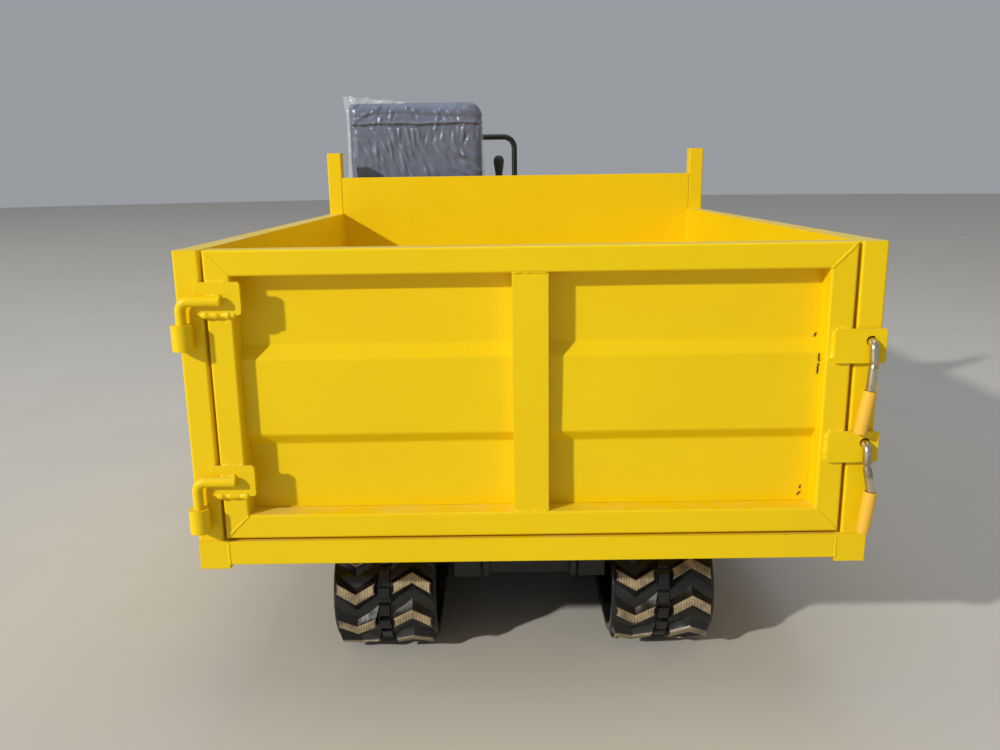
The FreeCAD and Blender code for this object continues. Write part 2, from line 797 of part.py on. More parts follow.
def track_frame_right():
    x0, x1 = track_mid - frame_half, track_mid + frame_half
    rear = idler_y + idler_tip - belt + idler_gap
    behind, over, below, above = idler_bracket
    shapes = [block(x0, x1, rear, last_roller_y + frame_nose, frame_bottom, frame_top)]
    cuts = []
    for x in (x0, x1 - fork):
        for y in roller_places():
            shapes.append(block(x, x + fork, y - bracket / 2, y + bracket / 2,
                                roller_z - bracket_hang, frame_top))
            cuts.append(disc_x(x - 1, x + fork + 1, y, roller_z, axle / 2))
        shapes.append(block(x, x + fork, idler_y - behind, rear + over, idler_z - below,
                            idler_z + above))
        cuts.append(disc_x(x - 1, x + fork + 1, idler_y, idler_z, axle / 2))
    plate_end = x0 + motor_plate
    shapes.append(block(x0, plate_end, last_roller_y + roller_radius + motor_plate_gap,
                        sprocket_y + motor_plate_half, sprocket_z - motor_plate_half,
                        sprocket_z + motor_plate_half))
    cuts.append(disc_x(x0 - 1, plate_end + 1, sprocket_y, sprocket_z, motor_bore))
    y, z = carrier_place()
    shapes.append(block(x0, plate_end, y - carrier_plate / 2, y + carrier_plate / 2, frame_top,
                        z + plate_rise))
    cuts.append(disc_x(x0 - 1, plate_end + 1, y, z, axle / 2))
    frame = joined(shapes)
    for cut in cuts:
        frame = frame.cut(cut)
    return frame


def track_rollers_right():
    rollers = []
    for y in roller_places():
        shapes = [disc_x(track_mid - frame_half, track_mid + frame_half, y, roller_z, axle / 2)]
        for x in (track_mid - frame_half + rim_inset, track_mid - frame_half + rim_inset
                  + roller_rim + rim_gap):
            shapes.append(disc_x(x, x + roller_rim, y, roller_z, roller_radius - rest_gap))
        rollers.append(joined(shapes))
    y, z = carrier_place()
    carrier_x = track_mid - frame_half + motor_plate + fork
    rollers.append(joined([
        disc_x(carrier_x, carrier_x + 2 * carrier_half, y, z, carrier_radius),
        disc_x(track_mid - frame_half, carrier_x + 1, y, z, axle / 2)]))
    return Part.makeCompound(rollers)


def rear_idler_right():
    x = track_mid
    rim = idler_tip - belt - rest_gap
    wheel = disc_x(x - idler_half, x + idler_half, idler_y, idler_z, rim)
    hollow = idler_half - rim_gap / 2 - 1
    for side_x in (x - idler_half - 1, x + idler_half - hollow):
        wheel = wheel.cut(disc_x(side_x, side_x + hollow + 1, idler_y, idler_z, rim - idler_rim))
    hub = disc_x(x - idler_half, x + idler_half, idler_y, idler_z, idler_hub)
    shaft = disc_x(x - frame_half, x + frame_half, idler_y, idler_z, axle / 2)
    return joined([wheel, hub, shaft])


def drive_sprocket_right():
    """Toothed disc: a round plate with a tooth for each link that it carries."""
    x0 = track_mid - sprocket_disc / 2
    x1 = track_mid + sprocket_disc / 2
    rim = sprocket_tip - belt - rest_gap
    root = rim - tooth_height
    shapes = [disc_x(x0, x1, sprocket_y, sprocket_z, root)]
    outline = [(-tooth_root / 2, root - tooth_sink), (-tooth_tip / 2, rim - 1),
               (tooth_tip / 2, rim - 1), (tooth_root / 2, root - tooth_sink)]
    for number in range(sprocket_teeth):
        tooth = prism_x(outline, x0, x1)
        tooth.rotate(V(0, 0, 0), V(1, 0, 0), 360.0 * number / sprocket_teeth)
        tooth.translate(V(0, sprocket_y, sprocket_z))
        shapes.append(tooth)
    shapes.append(disc_x(x1, track_mid + frame_half, sprocket_y, sprocket_z, sprocket_hub))
    return joined(shapes)


def travel_motor_right():
    plate_x = track_mid - frame_half
    body = disc_x(longeron_out + motor_gap, track_mid - sprocket_disc / 2, sprocket_y, sprocket_z,
                  motor_radius)
    flange = disc_x(plate_x - motor_plate, plate_x, sprocket_y, sprocket_z, motor_flange)
    return joined([body, flange])


# Chassis

def chassis_frame():
    rail = block(longeron_in, longeron_out, pivot_y + rail_tail, chassis_front, chassis_bottom,
                 chassis_top)
    outer = pivot_pin / 2 + ear_wall
    ear_x = longeron_in - side_gap - ear
    ear_plate = joined([
        disc_x(ear_x, ear_x + ear, pivot_y, pivot_z, outer),
        prism_x([(pivot_y - outer + 1, pivot_z - outer / 3), (pivot_y + rail_tail, chassis_bottom),
                 (pivot_y + ear_length, chassis_bottom),
                 (pivot_y + ear_length, chassis_top - ear_drop),
                 (pivot_y + outer * 0.7, pivot_z + outer * 0.7)], ear_x, ear_x + ear),
    ])
    shapes = [rail, mirrored(rail), ear_plate, mirrored(ear_plate)]
    for y in (pivot_y + first_brace, front_beam_y, chassis_front - tube):
        shapes.append(block(-longeron_in, longeron_in, y, y + tube, chassis_bottom, chassis_top))
    reach = track_mid - frame_half
    for y in (foot_beam_y, front_beam_y):
        shapes.append(block(undercarriage_shift - reach, undercarriage_shift + reach, y,
                            y + beam_width, frame_bottom - beam_hang, chassis_bottom))
    arm_y = foot_y - foot_arm
    shapes.append(block(-longeron_in, longeron_in, foot_beam_y, arm_y, chassis_bottom,
                        chassis_bottom + foot_beam_rise))
    for x in fork_sides():
        shapes.append(disc_x(x, x + ear, foot_y, foot_z, eye_radius))
        shapes.append(block(x, x + ear, arm_y, foot_y, foot_z - eye_radius, foot_z + eye_radius))
    pad_y = bed_length - pad_back
    pad = block(longeron_in + pad_inset, longeron_out - pad_inset, pad_y, pad_y + pad_length,
                chassis_top - 1, longeron_bottom - rest_gap)
    frame = joined(shapes + [pad, mirrored(pad)])
    bore = disc_x(-longeron_in, longeron_in, pivot_y, pivot_z, pivot_pin / 2 + running_gap)
    foot = disc_x(-longeron_in, longeron_in, foot_y, foot_z, cylinder_pin / 2 + running_gap)
    return frame.cut(bore).cut(foot)


def cylinder_line():
    """Foot, direction and length of the closed cylinder at rest."""
    foot = V(0, foot_y, foot_z)
    head = V(0, head_y, head_z)
    return foot, (head - foot).normalize(), (head - foot).Length


def tip_cylinder_barrel():
    foot, along, length = cylinder_line()
    start = foot + along * (eye_radius + eye_gap)
    gland_out = gland_length - gland_seat
    barrel_length = length - 2 * eye_radius - eye_gap - gland_out - rod_showing
    body = Part.makeCylinder(barrel / 2, barrel_length, start, along)
    gland = Part.makeCylinder(barrel / 2 + gland_wall, gland_length,
                              start + along * (barrel_length - gland_seat), along)
    stem = Part.makeCylinder(neck / 2, eye_radius + eye_gap + 2, foot, along)
    eye = disc_x(-eye_width / 2, eye_width / 2, foot.y, foot.z, eye_radius)
    pin_half = eye_width / 2 + fork_gap + ear + pin_past_ear
    pin = disc_x(-pin_half, pin_half, foot.y, foot.z, cylinder_pin / 2)
    shape = joined([body, gland, stem, eye, pin])
    bore = Part.makeCylinder(rod / 2 + running_gap, length, foot + along * (eye_radius + bore_start),
                             along)
    return shape.cut(bore)


def tip_cylinder_rod():
    foot, along, length = cylinder_line()
    begin = eye_radius + bore_start + rod_inside
    shaft = Part.makeCylinder(rod / 2, length - begin, foot + along * begin, along)
    eye = disc_x(-eye_width / 2, eye_width / 2, head_y, head_z, eye_radius)
    return joined([shaft, eye])


# Operator's deck

def deck():
    shapes = [block(-deck_half, deck_half, deck_rear, deck_front, deck_under, deck_z),
              block(-deck_half, deck_half, deck_front - deck_plate, deck_front,
                    deck_under - front_skirt, deck_z)]
    for x in (-deck_half, deck_half - deck_plate):
        shapes.append(block(x, x + deck_plate, deck_rear, deck_front, deck_under - side_skirt,
                            deck_z))
    for y in (deck_rear + deck_beam_in, chassis_front - tube - deck_beam_back):
        shapes.append(block(-deck_half, deck_half, y, y + deck_beam, deck_under - deck_beam_depth,
                            deck_under))
        foot = block(longeron_in, longeron_out, y, y + deck_beam, chassis_top, deck_under)
        shapes += [foot, mirrored(foot)]
    return joined(shapes)


def seat_base():
    base = block(seat_left + seat_base_inset, seat_right - seat_base_inset, seat_rear,
                 seat_rear + seat_base_length, deck_z, deck_z + seat_base_height)
    return rounded(base, seat_base_round, lambda edge: runs_along(edge, 2))


def seat_cushion():
    rear = seat_rear + back_thick + rest_gap
    cushion = block(seat_left, seat_right, rear, rear + cushion_length, seat_z,
                    seat_z + cushion_thick)
    return rounded(cushion, cushion_round, lambda edge: edge.CenterOfMass.z > seat_z + 1)


def seat_backrest():
    top = deck_z + seat_base_height + back_height
    back = block(seat_left, seat_right, seat_rear, seat_rear + back_thick, seat_z, top)
    back = rounded(back, back_round, lambda e: runs_along(e, 1) and e.CenterOfMass.z > seat_z + 1)
    return rounded(back, back_edge,
                   lambda e: not runs_along(e, 1) and e.CenterOfMass.z > seat_z + 1)


def fuel_tank():
    left = -deck_half + tank_margin
    rear = seat_rear + seat_base_length + tank_gap
    front = deck_front - tank_setback
    top = deck_z + tank_height
    tank = block(left, left + tank_width, rear, front, deck_z, top)
    tank = rounded(tank, tank_round, lambda edge: edge.CenterOfMass.z > deck_z + 1)
    x = left + tank_width / 2
    y = front - tank_width / 2
    return joined([tank, rod_between((x, y, top - 1), (x, y, top + cap_height), cap_radius)])


def control_console():
    outline = [(console_y, deck_z), (console_y + console_depth, deck_z),
               (console_y + console_depth, console_top), (console_y, console_top - console_slope)]
    body = prism_x(outline, seat_x - console_width / 2, seat_x + console_width / 2)
    return rounded(body, console_round, lambda edge: runs_along(edge, 2))


def lever(foot, top, grip_r, grip_len):
    """A round rod with a moulded grip at its top, as one solid."""
    a, b = V(*foot), V(*top)
    along = (b - a).normalize()
    stem = Part.makeCylinder(lever_rod / 2, (b - a).Length - stem_end, a, along)
    grip = Part.makeCylinder(grip_r, grip_len, b - along * grip_len, along)
    grip = rounded(grip, grip_r * grip_round, lambda edge: True)
    return joined([stem, grip])


def travel_levers():
    z = console_top - lever_sink
    y = console_y + console_depth / 2
    console = control_console()
    return Part.makeCompound([
        lever((seat_x + dx, y, z), (seat_x + dx, y - lever_lean, z + lever_rise), grip_radius,
              grip_length).cut(console) for dx in (-lever_spread, lever_spread)])


def side_console():
    rear = seat_rear + side_console_ahead
    body = block(side_console_x, side_console_x + side_console_width, rear,
                 rear + side_console_length, deck_z, side_console_top)
    return rounded(body, console_round, lambda edge: edge.CenterOfMass.z > deck_z + 1)


def auxiliary_levers():
    levers = []
    for row in side_levers:
        x = side_console_x + row["x"]
        y = seat_rear + row["y"]
        levers.append(lever((x, y, side_console_top), (x, y, side_console_top + row["height"]),
                            row["radius"], row["length"]))
    return Part.makeCompound(levers)


def hand_rail():
    y = deck_front - rail_setback
    left = -deck_half + rail_margin
    right = hood_left - rail_to_hood
    top = deck_z + rail_height - rail_tube / 2
    return swept_tube([(left, y, deck_z), (left, y, top), (right, y, top), (right, y, deck_z)],
                      rail_tube / 2, rail_bend)


# Engine bay

def hood_shell(z0, z1):
    """Upright walls with rounded corners, as (outer, hollow) blocks."""
    outer = block(hood_left, hood_right, hood_rear, hood_front, z0, z1)
    hollow = block(hood_left + hood_wall, hood_right - hood_wall, hood_rear + hood_wall,
                   hood_front - hood_wall, z0 - 1, z1)
    return (rounded(outer, hood_round, lambda edge: runs_along(edge, 2)),
            rounded(hollow, hood_round - hood_wall, lambda edge: runs_along(edge, 2)))


def engine_hood():
    outer, hollow = hood_shell(deck_z, body_top)
    window = block(hood_right - hood_wall - 1, hood_right + 1, *grille_span())
    shapes = [outer.cut(hollow).cut(window)]
    low = body_top - hinge_foot
    for x in hood_hinge_places():
        shapes.append(block(x - hinge_half, x + hinge_half, hood_front - 1, hinge_hood_y, low,
                            hinge_hood_z - hinge_plate_drop))
        for side_x in (x - hinge_half, x + hinge_half - hinge_ear):
            shapes.append(block(side_x, side_x + hinge_ear, hinge_hood_y - hinge_ear_half,
                                hinge_hood_y + hinge_ear_half, low, hinge_hood_z))
        shapes.append(disc_x(x - hinge_half, x + hinge_half, hinge_hood_y, hinge_hood_z,
                             hood_hinge_pin / 2))
    return joined(shapes)


def hood_hinge_places():
    return [hood_left + hood_hinge_inset, hood_right - hood_hinge_inset]


def grille_span():
    """Low and high y, then low and high z of the window in the hood's right side."""
    return (hood_rear + grille_end, hood_front - grille_end, deck_z + grille_low,
            body_top - grille_high)


def hood_grille():
    """Louvres in a frame, each blade tilted so that rain runs off it."""
    y0, y1, z0, z1 = grille_span()
    x0, x1 = hood_right - hood_wall, hood_right
    rim = grille_rim
    ring = block(x0, x1, y0, y1, z0, z1).cut(block(x0 - 1, x1 + 1, y0 + rim, y1 - rim, z0 + rim,
                                                   z1 - rim))
    shapes = [ring]
    step = (z1 - z0 - 2 * rim) / louvre_count
    for number in range(louvre_count):
        z = z0 + rim + step * number
        outline = [V(x1, 0, z), V(x0, 0, z + step * louvre_rise),
                   V(x0, 0, z + step * (louvre_rise + louvre_thick)), V(x1, 0, z + step * louvre_thick)]
        blade = Part.Face(Part.makePolygon(outline + outline[:1])).extrude(V(0, y1 - y0 - rim, 0))
        blade.translate(V(0, y0 + rim / 2, 0))
        shapes.append(blade)
    return joined(shapes)


def hood_lid():
    outer, hollow = hood_shell(body_top + lid_gap, hood_top)
    hollow.translate(V(0, 0, -hood_wall))
    outer = rounded(outer, lid_round, lambda edge: edge.BoundBox.ZMin > hood_top - 1)
    hollow = rounded(hollow, lid_round - hood_wall,
                     lambda edge: edge.BoundBox.ZMin > hood_top - hood_wall - 1)
    shapes = [outer.cut(hollow)]
    for x in hood_hinge_places():
        shapes.append(disc_x(x - knuckle_half, x + knuckle_half, hinge_hood_y, hinge_hood_z,
                             knuckle_radius))
        shapes.append(block(x - knuckle_half, x + knuckle_half, hood_front - 1, hinge_hood_y,
                            hinge_hood_z - knuckle_web, hinge_hood_z + knuckle_radius))
    bore = disc_x(hood_left, hood_right, hinge_hood_y, hinge_hood_z, hood_hinge_pin / 2 + running_gap)
    return joined(shapes).cut(bore)


def engine_block():
    side = hood_wall + engine_gap
    end = hood_wall + engine_end_gap
    return block(hood_left + side, hood_right - side, hood_rear + end, hood_front - end, deck_z,
                 body_top - engine_top_gap)


def exhaust_pipe():
    x = hood_right - exhaust_inset
    z = deck_z + exhaust_height
    out = hood_front + exhaust_out
    return swept_tube([(x, hood_front, z), (x, out, z), (x, out, z - exhaust_drop)],
                      exhaust_tube / 2, exhaust_tube * exhaust_bend)


# Front

def front_bumper():
    rear = deck_front + bumper_setout
    bar = block(-bumper_width / 2, bumper_width / 2, rear, bumper_front, bumper_bottom, bumper_top)
    shapes = [rounded(bar, bumper_round, lambda edge: runs_along(edge, 0))]
    for x in (-longeron_out, longeron_in):
        shapes.append(block(x, x + longeron_width, deck_front, rear + bracket_sink,
                            bumper_bottom + bracket_inset, bumper_top - bracket_inset))
    eye_y = bumper_front + tow_reach - tow_radius
    z = bumper_bottom + tow_rise
    shapes.append(block(-tow_radius, tow_radius, bumper_front - 1, eye_y, z, z + tow_plate))
    shapes.append(rod_between((0, eye_y, z), (0, eye_y, z + tow_plate), tow_radius))
    return joined(shapes).cut(rod_between((0, eye_y, bumper_bottom), (0, eye_y, bumper_top),
                                          tow_hole / 2))


def head_lamps():
    lamps = []
    y = deck_front + bumper_setout + (bumper_depth - lamp_depth) / 2
    z = bumper_top + lamp_stand + lamp_radius
    for x in (-lamp_x, lamp_x):
        can = rod_between((x, y, z), (x, y + lamp_depth, z), lamp_radius)
        can = rounded(can, lamp_round, lambda edge: edge.BoundBox.YMax < y + 1)
        foot = block(x - lamp_foot, x + lamp_foot, y + lamp_inset, y + lamp_depth - lamp_inset,
                     bumper_top, z - lamp_radius + lamp_inset)
        lamps.append(joined([can, foot]))
    return Part.makeCompound(lamps)


def boarding_step():
    x = -deck_half + deck_plate + step_tube
    y1 = deck_front - step_setback
    y0 = y1 - step_length
    low = deck_under - step_drop
    return swept_tube([(x, y0, deck_under), (x, y0, low), (x, y1, low), (x, y1, deck_under)],
                      step_tube / 2, step_tube * step_bend)


def pair(make):
    """Right and left copies of an undercarriage piece, as the separate solids of one node."""
    right = make()
    both = Part.makeCompound([right, mirrored(right)])
    both.translate(V(undercarriage_shift, 0, 0))
    return both


paired = {"track_frames": track_frame_right, "track_rollers": track_rollers_right,
          "rear_idlers": rear_idler_right, "drive_sprockets": drive_sprocket_right,
          "travel_motors": travel_motor_right}
single = {"rear_post_right": post_right, "rear_post_left": post_left, "floor_rails": floor_rails,
          "longerons": longerons, "cross_members": cross_members, "bed_floor": bed_floor,
          "headboard": headboard, "stake_posts": stake_posts, "gate_frame": gate_frame,
          "gate_panel": gate_panel, "gate_centre_bar": gate_centre_bar,
          "gate_hinges": gate_hinges, "latch_plates": latch_plates, "latch_hooks": latch_hooks,
          "latch_handles": latch_handles, "chassis_frame": chassis_frame,
          "tip_cylinder_barrel": tip_cylinder_barrel, "tip_cylinder_rod": tip_cylinder_rod,
          "deck": deck, "seat_base": seat_base, "seat_cushion": seat_cushion,
          "seat_backrest": seat_backrest, "fuel_tank": fuel_tank,
          "control_console": control_console, "travel_levers": travel_levers,
          "side_console": side_console, "auxiliary_levers": auxiliary_levers,
          "hand_rail": hand_rail, "engine_hood": engine_hood, "hood_grille": hood_grille,
          "hood_lid": hood_lid, "engine_block": engine_block, "exhaust_pipe": exhaust_pipe,
          "front_bumper": front_bumper, "head_lamps": head_lamps, "boarding_step": boarding_step}


def export(node, shape):
    shape = shape.copy()
    shape.translate(V(0, shift_y, 0))
    shape.exportStep("parts/" + node + ".step")
    box = shape.BoundBox
    print(node, "valid" if shape.isValid() else "NOT VALID", len(shape.Solids), "solids",
          [round(v, 1) for v in (box.XMin, box.XMax, box.YMin, box.YMax, box.ZMin, box.ZMax)])


os.makedirs("parts", exist_ok=True)
bed_side = bed_side_right()
export("bed_side_right", bed_side)
export("bed_side_left", mirrored(bed_side))
for name in ("right", "left"):
    export("track_" + name, track(name))
for name, make in paired.items():
    export(name, pair(make))
for name, make in single.items():
    export(name, make())
print("shift", shift_y, "pivot", pivot_y + shift_y, pivot_z, "gate hinge", hinge_x, hinge_y + shift_y,
      "hood hinge", hinge_hood_y + shift_y, hinge_hood_z, "cylinder head", head_y + shift_y, head_z)
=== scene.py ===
import bpy
import bmesh
import math
import numpy as np
from mathutils import Matrix, Vector


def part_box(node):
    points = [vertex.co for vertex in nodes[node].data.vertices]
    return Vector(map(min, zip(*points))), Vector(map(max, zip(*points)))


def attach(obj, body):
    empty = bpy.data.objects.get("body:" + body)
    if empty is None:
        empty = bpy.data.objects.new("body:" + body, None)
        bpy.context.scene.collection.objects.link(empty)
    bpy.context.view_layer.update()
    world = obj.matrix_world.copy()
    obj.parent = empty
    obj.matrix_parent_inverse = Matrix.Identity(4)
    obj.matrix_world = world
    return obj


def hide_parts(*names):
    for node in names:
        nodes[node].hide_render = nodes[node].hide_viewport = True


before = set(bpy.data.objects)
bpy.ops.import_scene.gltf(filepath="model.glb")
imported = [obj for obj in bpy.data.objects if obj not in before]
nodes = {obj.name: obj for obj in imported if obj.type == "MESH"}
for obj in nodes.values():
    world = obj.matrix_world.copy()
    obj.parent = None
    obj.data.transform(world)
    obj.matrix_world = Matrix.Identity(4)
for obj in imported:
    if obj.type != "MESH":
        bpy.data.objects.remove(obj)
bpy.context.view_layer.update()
scene = bpy.context.scene
scene.view_settings.view_transform = "Standard"

# Camera, floor and lights. The camera stands where the photo was taken from.
photoView = {"place": (-0.05404, -2.9364, 1.0766), "lens": 31.337, "sensor": 36.0,
             "yaw": -0.00353, "pitch": 0.22663, "roll": 0.01432}
studio = {"floorRadius": 40.0, "floorColor": "#CFCBC4", "floorShade": "#C5C0B8", "skyColor": "#E6EBF2",
          "skyStrength": 0.40, "keyFrom": (-0.708, -0.562, 0.427), "keyDistance": 26.0, "keySize": 1.0,
          "keyPower": 5750.0, "topSize": 5.0, "topHeight": 5.5, "topPower": 70.0}


def linearColor(hexText, alpha=1.0):
    # sRGB hex to the linear colour that shaders take
    values = [int(hexText[i:i + 2], 16) / 255 for i in (1, 3, 5)]
    return [v / 12.92 if v <= 0.04045 else ((v + 0.055) / 1.055) ** 2.4 for v in values] + [alpha]


def addNode(tree, kind, values=None, links=None, **attributes):
    # One shader node with its attributes, socket values and incoming links
    node = tree.nodes.new("ShaderNode" + kind)
    for name, value in attributes.items():
        setattr(node, name, value)
    for name, value in (values or {}).items():
        node.inputs[name].default_value = value
    for name, source in (links or {}).items():
        tree.links.new(source, node.inputs[name])
    return node


def placeCamera(view):
    # Axes from yaw, pitch and roll: forward, then right and down turned by the roll
    cy, sy = math.cos(view["yaw"]), math.sin(view["yaw"])
    cp, sp = math.cos(view["pitch"]), math.sin(view["pitch"])
    cr, sr = math.cos(view["roll"]), math.sin(view["roll"])
    forward = Vector((sy * cp, cy * cp, -sp))
    level = Vector((cy, -sy, 0))
    down = forward.cross(level)
    right = level * cr + down * sr
    below = down * cr - level * sr
    camera = bpy.data.objects.new("camera", bpy.data.cameras.new("camera"))
    camera.data.sensor_width = view["sensor"]
    camera.data.lens = view["lens"]
    camera.data.clip_start = 0.05
    turn = Matrix((right, -below, -forward)).transposed().to_4x4()
    camera.matrix_world = Matrix.Translation(view["place"]) @ turn
    scene.collection.objects.link(camera)
    scene.camera = camera


def addLight(name, place, target, size, power, color):
    light = bpy.data.lights.new(name, "AREA")
    light.shape = "DISK"
    light.size = size
    light.energy = power
    light.color = linearColor(color)[:3]
    lamp = bpy.data.objects.new(name, light)
    lamp.location = place
    lamp.rotation_euler = (Vector(target) - Vector(place)).to_track_quat("-Z", "Y").to_euler()
    scene.collection.objects.link(lamp)


def buildStudio(look):
    world = bpy.data.worlds.new("paleSky")
    world.use_nodes = True
    background = world.node_tree.nodes["Background"]
    background.inputs["Color"].default_value = linearColor(look["skyColor"])
    background.inputs["Strength"].default_value = look["skyStrength"]
    scene.world = world
    target = Vector((0, -0.9, 0.6))
    addLight("key", target + Vector(look["keyFrom"]) * look["keyDistance"], target, look["keySize"],
             look["keyPower"], "#FFFDF4")
    addLight("top", (0.4, 0.2, look["topHeight"]), (0, 0, 0.4), look["topSize"], look["topPower"],
             "#F4F8FF")
    angle = np.linspace(0, 2 * np.pi, 96, endpoint=False)
    ring = np.stack([np.cos(angle), np.sin(angle), 0 * angle], 1) * look["floorRadius"]
    mesh = bpy.data.meshes.new("floor")
    mesh.from_pydata(ring.tolist(), [], [list(range(len(ring)))])
    floor = bpy.data.objects.new("floor", mesh)
    scene.collection.objects.link(floor)
    material, tree, shader, place = startMaterial("paintedFloor", look["floorColor"], 0.6)
    mottle = addNode(tree, "TexNoise", {"Scale": 1.6, "Detail": 6.0}, {"Vector": place})
    tone = addNode(tree, "Mix", {6: linearColor(look["floorShade"]), 7: linearColor(look["floorColor"])},
                   {0: mottle.outputs[0]}, data_type="RGBA")
    tree.links.new(tone.outputs[2], shader.inputs["Base Color"])
    mesh.materials.append(material)


def startMaterial(name, color, roughness, **values):
    # A material with its shader's constant sockets set, and the Object coordinates for patterns
    material = bpy.data.materials.new(name)
    material.use_nodes = True
    tree = material.node_tree
    shader = tree.nodes["Principled BSDF"]
    shader.inputs["Base Color"].default_value = linearColor(color)
    shader.inputs["Roughness"].default_value = roughness
    for socket, value in values.items():
        shader.inputs[socket.replace("_", " ")].default_value = value
    place = addNode(tree, "TexCoord").outputs["Object"]
    return material, tree, shader, place


def tuneBump(tree, shader, chain, normal=None):
    # Bumps one after another; each is (height output, distance in metres, strength)
    for height, distance, strength in chain:
        links = {"Height": height}
        if normal:
            links["Normal"] = normal
        normal = addNode(tree, "Bump", {"Distance": distance, "Strength": strength}, links).outputs[0]
    tree.links.new(normal, shader.inputs["Normal"])


def makeEnamel(name, look):
    # Alkyd machine enamel, sprayed: a soft gloss with orange peel, chips and rubs on its edges,
    # and dust on what faces up, whose pale colour also paints the sky's reflection on top faces
    material, tree, shader, place = startMaterial(name, look["color"], look["roughness"], IOR=1.5,
                                                  Specular_IOR_Level=look["gloss"])
    bevel = addNode(tree, "Bevel", {"Radius": look["edgeRadius"]}, samples=6)
    face = addNode(tree, "NewGeometry")
    cloud = addNode(tree, "TexNoise", {"Scale": 2.6, "Detail": 5.0, "Roughness": 0.6}, {"Vector": place})
    depth = addNode(tree, "MapRange", {1: 0.35, 2: 0.65}, {0: cloud.outputs[0]})
    coat = addNode(tree, "Mix", {6: linearColor(look["thinColor"]), 7: linearColor(look["color"])},
                   {0: depth.outputs[0]}, data_type="RGBA")
    bend = addNode(tree, "VectorMath", links={0: bevel.outputs[0], 1: face.outputs["Normal"]},
                   operation="DOT_PRODUCT")
    edge = addNode(tree, "MapRange", {1: 0.995, 2: 0.93}, {0: bend.outputs["Value"]})
    speck = addNode(tree, "TexNoise", {"Scale": 55.0, "Detail": 8.0, "Roughness": 0.65},
                    {"Vector": place})
    rare = addNode(tree, "MapRange", {1: look["chipFrom"], 2: look["chipFrom"] + 0.03},
                   {0: speck.outputs[0]})
    chip = addNode(tree, "Math", links={0: edge.outputs[0], 1: rare.outputs[0]}, operation="MULTIPLY")
    chipped = addNode(tree, "Mix", {7: linearColor(look["chipColor"])},
                      {0: chip.outputs[0], 6: coat.outputs[2]}, data_type="RGBA")
    # Paler on faces that point up: dust, and with it a painted reflection of the sky on top faces
    upward = addNode(tree, "SeparateXYZ", links={0: face.outputs["Normal"]})
    level = addNode(tree, "MapRange", {1: 0.6, 2: 1.0, 4: look["dustAndSheen"]}, {0: upward.outputs["Z"]})
    patch = addNode(tree, "TexNoise", {"Scale": 7.0, "Detail": 8.0, "Roughness": 0.7}, {"Vector": place})
    settled = addNode(tree, "MapRange", {1: 0.42, 2: 0.7}, {0: patch.outputs[0]})
    dustAndSheen = addNode(tree, "Math", links={0: level.outputs[0], 1: settled.outputs[0]},
                   operation="MULTIPLY")
    dustAndSheenTone = addNode(tree, "Mix", {7: linearColor(look["dustAndSheenColor"])},
                    {0: dustAndSheen.outputs[0], 6: chipped.outputs[2]}, data_type="RGBA")
    tree.links.new(dustAndSheenTone.outputs[2], shader.inputs["Base Color"])
    rough = addNode(tree, "MapRange", {1: 0.3, 2: 0.7, 3: look["roughness"] - 0.05,
                                       4: look["roughness"] + 0.1}, {0: patch.outputs[0]})
    tree.links.new(rough.outputs[0], shader.inputs["Roughness"])
    sag = addNode(tree, "TexNoise", {"Scale": 6.0, "Detail": 1.0}, {"Vector": place})
    peel = addNode(tree, "TexNoise", {"Scale": 330.0, "Detail": 2.0}, {"Vector": place})   # 3 mm cells
    tuneBump(tree, shader, [(sag.outputs[0], 0.0022, look["sag"]), (peel.outputs[0], 0.00025, 0.30),
                            (chip.outputs[0], -0.0003, 0.6)], bevel.outputs[0])
    return material


yellowLook = {"color": "#F3CF0A", "thinColor": "#EFC908", "chipColor": "#6B5A3A", "dustAndSheenColor": "#DDD2B6",
              "roughness": 0.34, "gloss": 0.22, "edgeRadius": 0.0022, "chipFrom": 0.62, "sag": 0.14,
              "dustAndSheen": 0.22}
blackLook = {"color": "#141517", "thinColor": "#1A1B1D", "chipColor": "#5B4636", "dustAndSheenColor": "#6C6153",
             "roughness": 0.36, "gloss": 0.45, "edgeRadius": 0.0020, "chipFrom": 0.57, "sag": 0.2,
             "dustAndSheen": 0.6}


